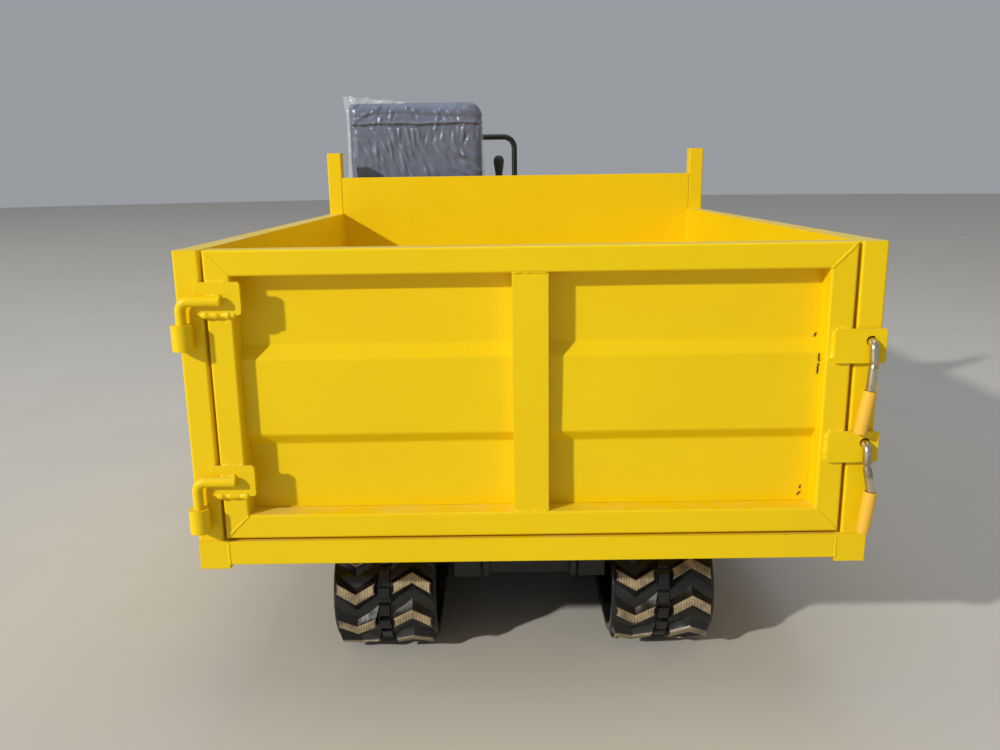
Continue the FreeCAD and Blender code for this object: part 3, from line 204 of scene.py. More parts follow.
def makeRubber(name, look):
    # Vulcanised natural rubber: near black, wet in patches, dried mud on the lugs' ribbed tops
    material, tree, shader, place = startMaterial(name, look["color"], 0.6, IOR=1.52)
    top = addNode(tree, "Attribute", attribute_name="lugTop").outputs["Fac"]
    mottle = addNode(tree, "TexNoise", {"Scale": 38.0, "Detail": 7.0, "Roughness": 0.65},
                     {"Vector": place})
    film = addNode(tree, "TexNoise", {"Scale": 13.0, "Detail": 4.0}, {"Vector": place})
    split = addNode(tree, "SeparateXYZ", links={0: place})
    wave = addNode(tree, "Math", {1: 2 * math.pi / look["ridgePitch"]}, {0: split.outputs["X"]},
                   operation="MULTIPLY")
    ridge = addNode(tree, "Math", links={0: wave.outputs[0]}, operation="SINE")
    groove = addNode(tree, "MapRange", {1: -1.06, 2: -0.7}, {0: ridge.outputs[0]})
    uneven = addNode(tree, "MapRange", {1: 0.34, 2: 0.6, 3: 0.35, 4: 1.0}, {0: mottle.outputs[0]})
    crust = addNode(tree, "Math", links={0: groove.outputs[0], 1: uneven.outputs[0]},
                    operation="MULTIPLY")
    mud = addNode(tree, "MapRange", {1: 0.82, 2: 0.97}, {0: top})
    cover = addNode(tree, "Math", links={0: crust.outputs[0], 1: mud.outputs[0]}, operation="MULTIPLY")
    side = addNode(tree, "Mix", {6: linearColor(look["color"]), 7: linearColor(look["dryColor"])},
                   {0: mottle.outputs[0]}, data_type="RGBA")
    paint = addNode(tree, "Mix", {7: linearColor(look["mudColor"])},
                    {0: cover.outputs[0], 6: side.outputs[2]}, data_type="RGBA")
    tree.links.new(paint.outputs[2], shader.inputs["Base Color"])
    wet = addNode(tree, "MapRange", {1: 0.42, 2: 0.62, 3: look["wetRoughness"], 4: 0.55},
                  {0: film.outputs[0]})
    dry = addNode(tree, "Mix", {3: 0.8}, {0: cover.outputs[0], 2: wet.outputs[0]})
    tree.links.new(dry.outputs[0], shader.inputs["Roughness"])
    ribbed = addNode(tree, "Math", links={0: groove.outputs[0], 1: mud.outputs[0]}, operation="MULTIPLY")
    tuneBump(tree, shader, [(mottle.outputs[0], 0.0012, 0.45), (ribbed.outputs[0], 0.0008, 0.5)])
    return material


rubberLook = {"color": "#0D0D0E", "dryColor": "#1B1A19", "mudColor": "#B29D7A", "ridgePitch": 0.006,
              "wetRoughness": 0.15}


def makeMetal(name, look):
    # Bare or plated steel: metallic, with its grain along or around the piece and a few stains
    material, tree, shader, place = startMaterial(name, look["color"], look["roughness"], Metallic=1.0)
    stretch = addNode(tree, "Mapping", {"Scale": look["grain"]}, {"Vector": place})
    grain = addNode(tree, "TexNoise", {"Scale": 1.0, "Detail": 4.0}, {"Vector": stretch.outputs[0]})
    stain = addNode(tree, "TexNoise", {"Scale": 30.0, "Detail": 6.0, "Roughness": 0.7},
                    {"Vector": place})
    spread = addNode(tree, "MapRange", {1: 0.45, 2: 0.7}, {0: stain.outputs[0]})
    tone = addNode(tree, "Mix", {6: linearColor(look["color"]), 7: linearColor(look["stainColor"])},
                   {0: spread.outputs[0]}, data_type="RGBA")
    tree.links.new(tone.outputs[2], shader.inputs["Base Color"])
    rough = addNode(tree, "MapRange", {1: 0.3, 2: 0.7, 3: look["roughness"], 4: look["roughness"] + 0.2},
                    {0: stain.outputs[0]})
    tree.links.new(rough.outputs[0], shader.inputs["Roughness"])
    bevel = addNode(tree, "Bevel", {"Radius": 0.001}, samples=4)
    tuneBump(tree, shader, [(grain.outputs[0], 0.0002, look["grainStrength"])], bevel.outputs[0])
    return material


def makePlastic(name, look):
    # Moulded or dipped plastic: even colour, a fine grain, rubbed smoother where hands go
    material, tree, shader, place = startMaterial(name, look["color"], look["roughness"], IOR=1.49)
    grain = addNode(tree, "TexVoronoi", {"Scale": 1 / look["grainSize"]}, {"Vector": place})
    rub = addNode(tree, "TexNoise", {"Scale": 17.0, "Detail": 5.0}, {"Vector": place})
    tone = addNode(tree, "Mix", {6: linearColor(look["color"]), 7: linearColor(look["rubColor"])},
                   {0: rub.outputs[0]}, data_type="RGBA")
    tree.links.new(tone.outputs[2], shader.inputs["Base Color"])
    rough = addNode(tree, "MapRange", {1: 0.35, 2: 0.65, 3: look["roughness"] - 0.1,
                                       4: look["roughness"] + 0.12}, {0: rub.outputs[0]})
    tree.links.new(rough.outputs[0], shader.inputs["Roughness"])
    bevel = addNode(tree, "Bevel", {"Radius": 0.0015}, samples=4)
    tuneBump(tree, shader, [(grain.outputs["Distance"], 0.0003, look["grainStrength"])],
             bevel.outputs[0])
    return material


def makeVinyl(name, look):
    # Knit-backed PVC cloth under clear polythene film: matt grey below, a wrinkled gloss above
    material, tree, shader, place = startMaterial(name, look["color"], 0.5, Specular_IOR_Level=0.3,
                                                  Coat_Weight=0.9, Coat_Roughness=0.3, Coat_IOR=1.5)
    weave = addNode(tree, "TexVoronoi", {"Scale": 420.0}, {"Vector": place})       # 2.4 mm leather grain
    shade = addNode(tree, "TexNoise", {"Scale": 9.0, "Detail": 5.0}, {"Vector": place})
    tone = addNode(tree, "Mix", {6: linearColor(look["color"]), 7: linearColor(look["paleColor"])},
                   {0: shade.outputs[0]}, data_type="RGBA")
    tree.links.new(tone.outputs[2], shader.inputs["Base Color"])
    stretch = addNode(tree, "Mapping", {"Scale": (30.0, 30.0, 16.0), "Rotation": (0, 0.5, 0)},
                      {"Vector": place})
    crumple = addNode(tree, "TexNoise", {"Scale": 1.0, "Detail": 1.5, "Roughness": 0.4,
                                         "Distortion": 0.6}, {"Vector": stretch.outputs[0]})
    tuneBump(tree, shader, [(crumple.outputs[0], 0.006, 0.55)])
    film = addNode(tree, "Bump", {"Distance": 0.0003, "Strength": 0.15},
                   {"Height": weave.outputs["Distance"], "Normal": shader.inputs["Normal"].links[0].from_socket})
    tree.links.new(film.outputs[0], shader.inputs["Coat Normal"])
    return material


def makeFilm(name):
    # Polythene film, blown thin: all but clear, seen by the gloss of its creases
    material, tree, shader, place = startMaterial(name, "#E4E9EE", 0.16, IOR=1.5, Alpha=0.2)
    crumple = addNode(tree, "TexNoise", {"Scale": 45.0, "Detail": 4.0, "Distortion": 1.0},
                      {"Vector": place})
    tuneBump(tree, shader, [(crumple.outputs[0], 0.004, 0.8)])
    return material


def makeGlass(name):
    # Pressed lamp glass with vertical flutes, 9 mm apart
    material, tree, shader, place = startMaterial(name, "#F4F7F8", 0.06, IOR=1.5,
                                                  Transmission_Weight=0.92)
    split = addNode(tree, "SeparateXYZ", links={0: place})
    turns = addNode(tree, "Math", {1: 2 * math.pi / 0.009}, {0: split.outputs["X"]},
                    operation="MULTIPLY")
    flute = addNode(tree, "Math", links={0: turns.outputs[0]}, operation="SINE")
    tuneBump(tree, shader, [(flute.outputs[0], 0.0006, 0.8)])
    return material


print("materials")
yellowEnamel = makeEnamel("yellowEnamel", yellowLook)
# More of the pale up-facing colour on the bed sides: dust, and a painted sky reflection on the side rails' tops
dustAndSheenEnamel = makeEnamel("dustAndSheenYellowEnamel", {**yellowLook, "dustAndSheen": 0.5})
blackEnamel = makeEnamel("blackEnamel", blackLook)
trackRubber = makeRubber("vulcanisedRubber", rubberLook)
zincSteel = makeMetal("zincPlatedSteel", {"color": "#D3C8B0", "stainColor": "#94856A", "roughness": 0.18,
                                          "grain": (300, 300, 40), "grainStrength": 0.35})
wornSteel = makeMetal("wornSteel", {"color": "#8C8983", "stainColor": "#5A4E44", "roughness": 0.38,
                                    "grain": (60, 500, 500), "grainStrength": 0.5})
hardChrome = makeMetal("hardChrome", {"color": "#D9DBDD", "stainColor": "#C9CBCC", "roughness": 0.06,
                                      "grain": (900, 900, 900), "grainStrength": 0.05})
exhaustSteel = makeMetal("heatStainedSteel", {"color": "#6E5B4C", "stainColor": "#3F332C",
                                              "roughness": 0.48, "grain": (200, 200, 200),
                                              "grainStrength": 0.4})
castIron = makePlastic("paintedCasting", {"color": "#3A3D3F", "rubColor": "#4A4742", "roughness": 0.6,
                                          "grainSize": 0.006, "grainStrength": 0.9})
blackPlastic = makePlastic("mouldedPolypropylene", {"color": "#191A1B", "rubColor": "#242527",
                                                    "roughness": 0.45, "grainSize": 0.0016,
                                                    "grainStrength": 0.5})
gripFoam = makePlastic("foamedGrip", {"color": "#2B2C2F", "rubColor": "#45464A", "roughness": 0.62,
                                      "grainSize": 0.0035, "grainStrength": 0.9})
sleeveVinyl = makePlastic("dippedVinyl", {"color": "#F0BC3C", "rubColor": "#EDB434", "roughness": 0.42,
                                          "grainSize": 0.002, "grainStrength": 0.15})
redPlastic = makePlastic("redPolypropylene", {"color": "#A8201A", "rubColor": "#8F1B16",
                                              "roughness": 0.35, "grainSize": 0.002,
                                              "grainStrength": 0.2})
seatVinyl = makeVinyl("seatVinylInFilm", {"color": "#595F73", "paleColor": "#6D758E"})
clearFilm = makeFilm("polytheneFilm")
lampGlass = makeGlass("pressedLampGlass")

cadFinish = {
    "yellow": (yellowEnamel, ["rear_post_right", "rear_post_left", "floor_rails", "longerons",
                              "cross_members", "bed_floor", "headboard", "stake_posts",
                              "gate_frame", "gate_centre_bar", "gate_hinges", "latch_plates",
                              "deck", "engine_hood", "hood_lid", "fuel_tank"]),
    "dustAndSheenTone": (dustAndSheenEnamel, ["bed_side_right", "bed_side_left"]),
    "black": (blackEnamel, ["chassis_frame", "track_frames", "travel_motors", "seat_base", "hand_rail",
                            "front_bumper", "boarding_step", "tip_cylinder_barrel"]),
    "worn": (wornSteel, ["drive_sprockets", "rear_idlers", "track_rollers"]),
    "moulded": (blackPlastic, ["control_console", "side_console", "hood_grille", "head_lamps"]),
    "rod": (hardChrome, ["tip_cylinder_rod"]),
    "casting": (castIron, ["engine_block"]),
    "exhaust": (exhaustSteel, ["exhaust_pipe"]),
}
for finish, members in cadFinish.values():
    for member in members:
        for place in nodes[member].material_slots:
            place.material = finish

buildStudio(studio)
placeCamera(photoView)


def unit(vectors):
    return vectors / np.maximum(np.linalg.norm(vectors, axis=-1, keepdims=True), 1e-12)


def gridFaces(grid, wrapRows=False, wrapColumns=False):
    # Quads between neighbouring points of a rows by columns grid
    rows, columns = grid.shape[:2]
    index = np.arange(rows * columns).reshape(rows, columns)
    if wrapRows:
        index = np.vstack([index, index[:1]])
    if wrapColumns:
        index = np.hstack([index, index[:, :1]])
    quads = np.stack([index[:-1, :-1], index[1:, :-1], index[1:, 1:], index[:-1, 1:]], -1)
    return grid.reshape(-1, 3), quads.reshape(-1, 4)


def ringCap(ring):
    # Triangles from a ring's middle to its sides
    count = len(ring)
    index = np.arange(count)
    points = np.vstack([ring, ring.mean(0)])
    return points, np.stack([index, np.roll(index, -1), np.full(count, count)], 1)


def loft(rings):
    # Closed form through rings of points, with both ends filled
    rings = np.asarray(rings, float)
    return [gridFaces(rings, wrapColumns=True), ringCap(rings[0]), ringCap(rings[-1])]


def sweep(path, across, profile, closed=False):
    # A profile carried along a path: point = path + across * px + out * py, out = across x tangent
    path = np.asarray(path, float)
    profile = np.asarray(profile, float)
    if closed:
        tangent = unit(np.roll(path, -1, 0) - np.roll(path, 1, 0))
    else:
        tangent = unit(np.gradient(path, axis=0))
    across = unit(np.broadcast_to(np.asarray(across, float), path.shape))
    out = unit(np.cross(across, tangent))
    rings = path[:, None] + across[:, None] * profile[..., :1] + out[:, None] * profile[..., 1:]
    return [gridFaces(rings, wrapRows=True, wrapColumns=True)] if closed else loft(rings)


def turned(start, along, profile, count=32, flutes=0, depth=0.0):
    # Profile of (distance along, radius) turned about the line from start; with flutes, the radius
    # swings by a share of itself that many times a turn
    along = unit(np.asarray(along, float))
    side = unit(np.cross(along, (0.31, 0.77, 0.55)))
    up = np.cross(along, side)
    angle = np.linspace(0, 2 * np.pi, count, endpoint=False)[None, :, None]
    profile = np.asarray(profile, float)
    reach = profile[:, None, 1:] * (1 + depth * np.cos(flutes * angle))
    rings = (np.asarray(start, float) + along * profile[:, None, :1]
             + (side * np.cos(angle) + up * np.sin(angle)) * reach)
    return loft(rings)


def repeated(patches, turns, places):
    # Copies of some patches: each copy's points are turned by a matrix and moved
    made = []
    for points, faces in patches:
        copies = np.einsum("nij,pj->npi", turns, points) + places[:, None]
        step = np.arange(len(places))[:, None, None] * len(points)
        made.append((copies.reshape(-1, 3), (faces[None] + step).reshape(-1, faces.shape[1])))
    return made


def joinPatches(patches):
    points = np.vstack([p for p, f in patches])
    starts = np.cumsum([0] + [len(p) for p, f in patches[:-1]])
    faces = [face for (p, f), start in zip(patches, starts) for face in (f + start).tolist()]
    return points, faces


def makeMesh(name, patches, smooth=35.0, values=None):
    # One mesh from patches of points and faces, welded, facing outwards, creased above an angle
    points, faces = joinPatches(patches)
    mesh = bpy.data.meshes.new(name)
    mesh.from_pydata(points.tolist(), [], faces)
    for attribute, numbers in (values or {}).items():
        layer = mesh.attributes.new(attribute, "FLOAT", "POINT")
        layer.data.foreach_set("value", np.asarray(numbers, np.float32))
    cleanMesh(mesh, smooth)
    return mesh


def cleanMesh(mesh, smooth):
    form = bmesh.new()
    form.from_mesh(mesh)
    bmesh.ops.remove_doubles(form, verts=form.verts, dist=2e-6)
    bmesh.ops.recalc_face_normals(form, faces=form.faces)
    form.to_mesh(mesh)
    form.free()
    mesh.polygons.foreach_set("use_smooth", np.ones(len(mesh.polygons), bool))
    mesh.set_sharp_from_angle(angle=math.radians(smooth))
    mesh.update()


def addPiece(name, mesh, material, body, replaced=()):
    piece = bpy.data.objects.new(name, mesh)
    scene.collection.objects.link(piece)
    mesh.materials.append(material)
    if replaced:
        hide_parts(*replaced)
    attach(piece, body)
    return piece


def getPoints(mesh):
    points = np.empty(len(mesh.vertices) * 3, np.float32)
    mesh.vertices.foreach_get("co", points)
    return points.reshape(-1, 3).astype(float)


def getNormals(mesh):
    normals = np.empty(len(mesh.vertices) * 3, np.float32)
    mesh.vertices.foreach_get("normal", normals)
    return normals.reshape(-1, 3).astype(float)


def setPoints(mesh, points):
    mesh.vertices.foreach_set("co", np.asarray(points, np.float32).ravel())
    mesh.update()


# Rubber tracks. Lug tips run on the wheels' outer circles; depths are measured inwards from there.
trackShape = {"linkPitch": 0.072, "lugDepth": 0.022, "beltDepth": 0.018, "innerDepth": 0.038,
              "footDepth": 0.027, "lugHalfWidth": 0.041, "flankSpread": 0.33, "lugHalfLength": 0.010,
              "faceSpread": 0.78, "tipLine": -0.0117, "apex": 0.0234, "chamfer": 0.0014,
              "offset": 0.0625, "ahead": -0.298, "firstLug": {"left": 13.8, "right": 24.2},
              "edgeRound": 0.006, "hornHeight": 0.022, "hornIn": 0.042, "hornOut": 0.054,
              "hornLength": 0.034, "hornTaper": 0.72, "blockHalfWidth": 0.0135, "blockHalfLength": 0.0145,
              "blockHeight": 0.009, "rollerRadius": 0.042}


def wheelsOfTrack(rollerRadius):
    # (y, z, radius of the lugs' tips) of idler, last roller and sprocket, read from the solids' boxes
    low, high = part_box("track_right")
    idlerLow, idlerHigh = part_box("rear_idlers")
    motorLow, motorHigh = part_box("travel_motors")
    rollersLow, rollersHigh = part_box("track_rollers")
    idlerY, idlerZ = (idlerLow.y + idlerHigh.y) / 2, (idlerLow.z + idlerHigh.z) / 2
    sprocketY, sprocketZ = (motorLow.y + motorHigh.y) / 2, (motorLow.z + motorHigh.z) / 2
    rollerZ = rollersLow.z + rollerRadius
    return [(idlerY, idlerZ, idlerY - low.y), (rollersHigh.y - rollerRadius, rollerZ, rollerZ),
            (sprocketY, sprocketZ, high.y - sprocketY)]


def beltCurve(wheels, depth):
    # Knots of the belt's line at one depth: run length, centre y and z, radius and normal's angle.
    # The normal's angle on a straight is the line's direction less acos((r1 - r2) / distance).
    wheels = [(y, z, r - depth) for y, z, r in wheels]
    leave, gaps = [], []
    for (y1, z1, r1), (y2, z2, r2) in zip(wheels, wheels[1:] + wheels[:1]):
        reach = math.hypot(y2 - y1, z2 - z1)
        leave.append(math.atan2(z2 - z1, y2 - y1) - math.acos((r1 - r2) / reach))
        gaps.append(math.sqrt(reach ** 2 - (r1 - r2) ** 2))
    knots, run, angle = [], 0.0, leave[-1]
    for (y, z, r), out, gap in zip(wheels, leave, gaps):
        turn = (out - angle) % (2 * math.pi)
        knots.append((run, y, z, r, angle))
        knots.append((run + r * turn, y, z, r, angle + turn))
        run, angle = run + r * turn + gap, angle + turn
    knots.append((run,) + knots[0][1:4] + (angle,))
    return np.array(knots)


def onBelt(knots, run, rise):
    # Point at a run length along the belt and a rise above its line, and the normal's angle there
    run = run % knots[-1, 0]
    y, z, r, angle = (np.interp(run, knots[:, 0], knots[:, k]) for k in (1, 2, 3, 4))
    return y + (r + rise) * np.cos(angle), z + (r + rise) * np.sin(angle), angle


def lugTemplate(shape):
    # Chevron bar, its apex towards +run: (across, run, rise) of a chamfered bar at left, apex and
    # right; its foot is wider and longer than its top by the spreads times the depth
    rows = [(shape["footDepth"], 1.0, 0.0), (0.010, 0.62, 0.45), (shape["chamfer"], 1.0, 1.0),
            (0.0, 1.0, 1.0)]
    section, shade = [], []
    for sign in (-1, 1):
        half = []
        for depth, share, top in rows:
            reach = shape["lugHalfLength"] + shape["faceSpread"] * depth * share
            inset = shape["chamfer"] if depth == 0 else 0
            half.append((sign * (reach - inset), shape["lugHalfWidth"] + shape["flankSpread"] * depth
                         - inset, -depth, top))
        section += half if sign < 0 else half[::-1]
    section = np.array(section)
    slope = shape["apex"] / shape["lugHalfWidth"]
    u = np.array([-1.0, 0.0, 1.0])[:, None]
    across = u * section[:, 1]
    run = section[:, 0] + shape["tipLine"] + shape["apex"] - slope * np.abs(across)
    grid = np.stack([across, run, section[:, 2] + 0 * across], -1)
    cap = np.append(section[:, 3], 0.5)
    return loft(grid), [np.tile(section[:, 3], 3), cap, cap]


def blockTemplate(x0, x1, halfLength, low, high, taper):
    # Low block in (across, run, rise), narrower at its top, with a small chamfer
    middle, half = (x0 + x1) / 2, (x1 - x0) / 2
    corners = np.array([(-1, -1), (1, -1), (1, 1), (-1, 1)], float)
    edge = 0.0018 if high > low else -0.0018
    rings = [np.stack([middle + corners[:, 0] * half * scale, corners[:, 1] * halfLength * scale,
                       0 * corners[:, 0] + rise], 1)
             for rise, scale in ((low, 1.0), (high - edge, taper), (high, taper - 0.12))]
    return loft(rings)


def turnedPlaces(middle, y, z, angle, flip):
    # Matrices and places that lay (across, run, rise) on the belt: run along the tangent, rise
    # outwards; flip turns a piece half round about its rise
    c, s, zero, one = np.cos(angle), np.sin(angle), 0 * angle, 0 * angle + 1
    sign = -1 if flip else 1
    matrix = np.stack([np.stack([sign * one, zero, zero], -1), np.stack([zero, -sign * s, c], -1),
                       np.stack([zero, sign * c, s], -1)], -2)
    return matrix, np.stack([middle + zero, y, z], -1)


def buildTrack(side, shape):
    node = "track_" + side
    low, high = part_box(node)
    middle, half = (low.x + high.x) / 2, (high.x - low.x) / 2
    wheels = wheelsOfTrack(shape["rollerRadius"])
    knots = beltCurve(wheels, shape["lugDepth"])
    length = knots[-1, 0]
    links = round(length / shape["linkPitch"])
    pitch = length / links
    outer = shape["lugDepth"] - shape["beltDepth"]
    inner = shape["lugDepth"] - shape["innerDepth"]
    r = shape["edgeRound"]
    turn = np.linspace(0, np.pi / 2, 4)
    corners = [(half - r, inner + r, -np.pi / 2), (half - r, outer - r, 0),
               (-half + r, outer - r, np.pi / 2), (-half + r, inner + r, np.pi)]
    profile = np.vstack([np.stack([x + r * np.cos(turn + a), h + r * np.sin(turn + a)], 1)
                         for x, h, a in corners])
    run = np.unique(np.concatenate([np.linspace(0, length, 4 * links, endpoint=False), knots[:-1, 0]]))
    y, z, angle = onBelt(knots, run[:, None], profile[None, :, 1])
    carcass = np.stack([middle + profile[None, :, 0] + 0 * y, y, z], -1)
    patches = [gridFaces(carcass, wrapRows=True, wrapColumns=True)]
    marks = [np.zeros(carcass.shape[0] * carcass.shape[1])]
    # The first lug stands at its own angle on the idler; the others follow, one to a link
    idlerRadius = wheels[0][2] - shape["lugDepth"]
    first = idlerRadius * ((-math.pi - math.radians(shape["firstLug"][side]) - knots[0, 4])
                           % (2 * math.pi))
    template, shade = lugTemplate(shape)
    reach = shape["lugHalfLength"] - shape["tipLine"]
    straights = [(knots[k, 0], knots[k + 1, 0], knots[k, 3] + shape["lugDepth"],
                  knots[k + 1, 3] + shape["lugDepth"]) for k in (1, 3, 5)]
    for column, ahead, flip in ((-shape["offset"], 0.0, False), (shape["offset"], shape["ahead"], True)):
        starts = (first + (np.arange(links) + ahead) * pitch) % length
        y, z, angle = onBelt(knots, starts, 0.0)
        rise = np.full(links, shape["lugDepth"])
        for number in range(0, 6, 2):
            # On an arc the top's middle lies inside the tips' circle, so its ends touch it
            onArc = (starts >= knots[number, 0]) & (starts < knots[number + 1, 0])
            tip = knots[number, 3] + shape["lugDepth"]
            rise[onArc] = math.sqrt(tip ** 2 - reach ** 2) - knots[number, 3]
        for begin, end, tipBegin, tipEnd in straights:
            on = (starts >= begin) & (starts < end)
            for far, tip in ((starts - begin, tipBegin), (end - starts, tipEnd)):
                beyond = np.where(on, np.maximum(reach - far, 0), 0)
                rise = np.minimum(rise, shape["lugDepth"] + tip - np.hypot(tip, beyond))
        y, z = y + rise * np.cos(angle), z + rise * np.sin(angle)
        patches += repeated(template, *turnedPlaces(middle + column, y, z, angle, flip))
        marks += [np.tile(mark, links) for mark in shade]
    blocks = np.arange(2 * links) * pitch / 2 + first
    y, z, angle = onBelt(knots, blocks, outer)
    wide = shape["blockHalfWidth"]
    extras = [(blockTemplate(-wide, wide, shape["blockHalfLength"], -0.002, shape["blockHeight"], 0.94),
               turnedPlaces(middle, y, z, angle, False))]
    y, z, angle = onBelt(knots, np.arange(links) * pitch + first, inner)
    for sign in (-1, 1):
        edges = sorted((sign * shape["hornIn"], sign * shape["hornOut"]))
        horn = blockTemplate(edges[0], edges[1], shape["hornLength"] / 2, 0.002, -shape["hornHeight"],
                             shape["hornTaper"])
        extras.append((horn, turnedPlaces(middle, y, z, angle, False)))
    for block, (turns, places) in extras:
        laid = repeated(block, turns, places)
        patches += laid
        marks += [np.zeros(len(points)) for points, faces in laid]
    mesh = makeMesh("rubberTrack." + side, patches, 32, {"lugTop": np.concatenate(marks)})
    addPiece("rubberTrack." + side, mesh, trackRubber, "chassis", [node])
    return links


for side in ("left", "right"):
    print("track", side, "links", buildTrack(side, trackShape))

# Pressed sheet of the gate
gateSheet = {"thick": 0.004, "ribTop": 0.191, "faceTop": 0.216, "faceBottom": 0.370, "ribBottom": 0.393,
             "bendRadius": 0.0055, "bulge": 0.0016, "into": 0.002}


def buildGateSheet(look):
    # Depth over height is a trapezoid wave with rounded bends; the fields bulge a little at random
    low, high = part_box("gate_panel")
    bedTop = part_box("rear_post_right")[1].z
    z = np.unique(np.concatenate([np.linspace(low.z, high.z, 60)] + [
        np.linspace(bedTop - look[k] - 0.012, bedTop - look[k] + 0.012, 13)
        for k in ("ribTop", "faceTop", "faceBottom", "ribBottom")]))
    x = np.linspace(low.x - look["into"], high.x + look["into"], 121)
    front = low.y
    flat = high.y - look["thick"]
    levels = [low.z - 1, bedTop - look["ribBottom"], bedTop - look["faceBottom"],
              bedTop - look["faceTop"], bedTop - look["ribTop"], high.z + 1]
    fine = np.linspace(low.z - 0.03, high.z + 0.03, 3000)
    depth = np.interp(fine, levels, [flat, flat, front, front, flat, flat])
    reach = int(look["bendRadius"] / (fine[1] - fine[0]))
    window = np.hanning(2 * reach + 1)
    depth = np.convolve(np.pad(depth, reach, "edge"), window / window.sum(), "valid")
    y = np.interp(z, fine, depth)[None, :] + 0 * x[:, None]
    rng = np.random.default_rng(7)
    u = np.clip((x - low.x) / (high.x - low.x), 0, 1)
    v = (z - low.z) / (high.z - low.z)
    edge = np.minimum(1, 14 * np.minimum(u, 1 - u))[:, None] * np.minimum(1, 14 * np.minimum(v, 1 - v))
    for a in range(1, 6):
        for b in range(1, 4):
            swing = rng.normal() * look["bulge"] / (a + b)
            y += swing * edge * np.sin(np.pi * a * u + rng.uniform(0, 6))[:, None] * np.sin(np.pi * b * v)
    frontFace = np.stack([x[:, None] + 0 * y, y, z[None] + 0 * y], -1)
    backFace = frontFace + np.array([0, look["thick"], 0])
    rings = np.concatenate([frontFace, backFace[:, ::-1]], 1)
    mesh = makeMesh("gateSheet", loft(rings), 30)
    addPiece("gateSheet", mesh, yellowEnamel, "gate", ["gate_panel"])


buildGateSheet(gateSheet)
print("gate sheet")

# Bare scratches on the pressed sheet: (in from the right edge, down from the bed's top, length,
# lean); each is a flake 0.3 mm thick with a ragged outline
chipMarks = [(0.007, 0.184, 0.010, 0.5), (0.004, 0.226, 0.018, -0.05), (0.005, 0.248, 0.022, 0.06),
             (0.017, 0.500, 0.008, 0.2), (0.019, 0.514, 0.012, 0.7)]
chipSteel = makePlastic("bareWeatheredSteel", {"color": "#2E2318", "rubColor": "#4A3522", "roughness": 0.7,
                                               "grainSize": 0.002, "grainStrength": 0.8})


def buildChips(look, marks):
    low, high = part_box("gate_panel")
    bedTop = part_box("rear_post_right")[1].z
    rng = np.random.default_rng(12)
    patches = []
    for inward, down, length, lean in marks:
        deep = look["faceTop"] < down < look["faceBottom"]
        y = low.y if deep else high.y - look["thick"]
        t = np.linspace(-1, 1, 14)
        wide = 0.0011 * np.sqrt(1 - t ** 2) * rng.uniform(0.35, 1.4, 14) + 0.0002
        middle = rng.normal(0, 0.0004, 14)
        along = np.array([math.sin(lean), 0, math.cos(lean)])
        aside = np.array([math.cos(lean), 0, -math.sin(lean)])
        spot = np.array([high.x - inward, y - 0.0016, bedTop - down])
        line = spot + along * (t * length / 2)[:, None]
        rings = [line + aside * (middle + sign * wide)[:, None] + np.array([0, depth, 0])
                 for sign, depth in ((-1, 0), (1, 0), (1, 0.003), (-1, 0.003))]
        patches += loft(np.stack(rings, 1))
    addPiece("bareScratches", makeMesh("bareScratches", patches, 30), chipSteel, "gate")


buildChips(gateSheet, chipMarks)

# Gate latches: zinc plated hook rods with vinyl sleeves
latchShape = {"rodRadius": 0.0088, "bend": 0.015, "sleeveRadius": 0.0134, "sleeveLength": 0.086,
              "pinch": 0.040}
latchRows = {"upper": {"inset": 0.024, "hole": 0.1884, "grip": 0.283, "shift": -0.002, "lean": -0.014},
             "lower": {"inset": 0.021, "hole": 0.3920, "grip": 0.4875, "shift": 0.012, "lean": -0.010}}


def smoothPath(points, radius, pieces=9):
    # Straight runs joined by arcs of one radius, each arc worked out from its corner's half angle
    points = [np.array(p, float) for p in points]
    path = [points[0]]
    for before, corner, after in zip(points, points[1:], points[2:]):
        u, w = unit(before - corner), unit(after - corner)
        halfAngle = math.acos(np.clip(u @ w, -1, 1)) / 2
        middle = corner + unit(u + w) * radius / math.sin(halfAngle)
        start = corner + u * radius / math.tan(halfAngle) - middle
        end = corner + w * radius / math.tan(halfAngle) - middle
        for share in np.linspace(0, 1, pieces):
            path.append(middle + radius * unit(start * (1 - share) + end * share))
    path.append(points[-1])
    return np.array(path)


def densePath(path, step):
    # The same line with its points evenly spaced
    gap = np.linalg.norm(np.diff(path, axis=0), axis=1)
    run = np.concatenate([[0], np.cumsum(gap)])
    at = np.linspace(0, run[-1], max(2, int(run[-1] / step) + 1))
    return np.stack([np.interp(at, run, path[:, k]) for k in range(3)], 1)


def roundProfile(radius, count=20):
    angle = np.linspace(0, 2 * np.pi, count, endpoint=False)
    radius = np.asarray(radius, float)
    return radius[..., None, None] * np.stack([np.cos(angle), np.sin(angle)], 1)


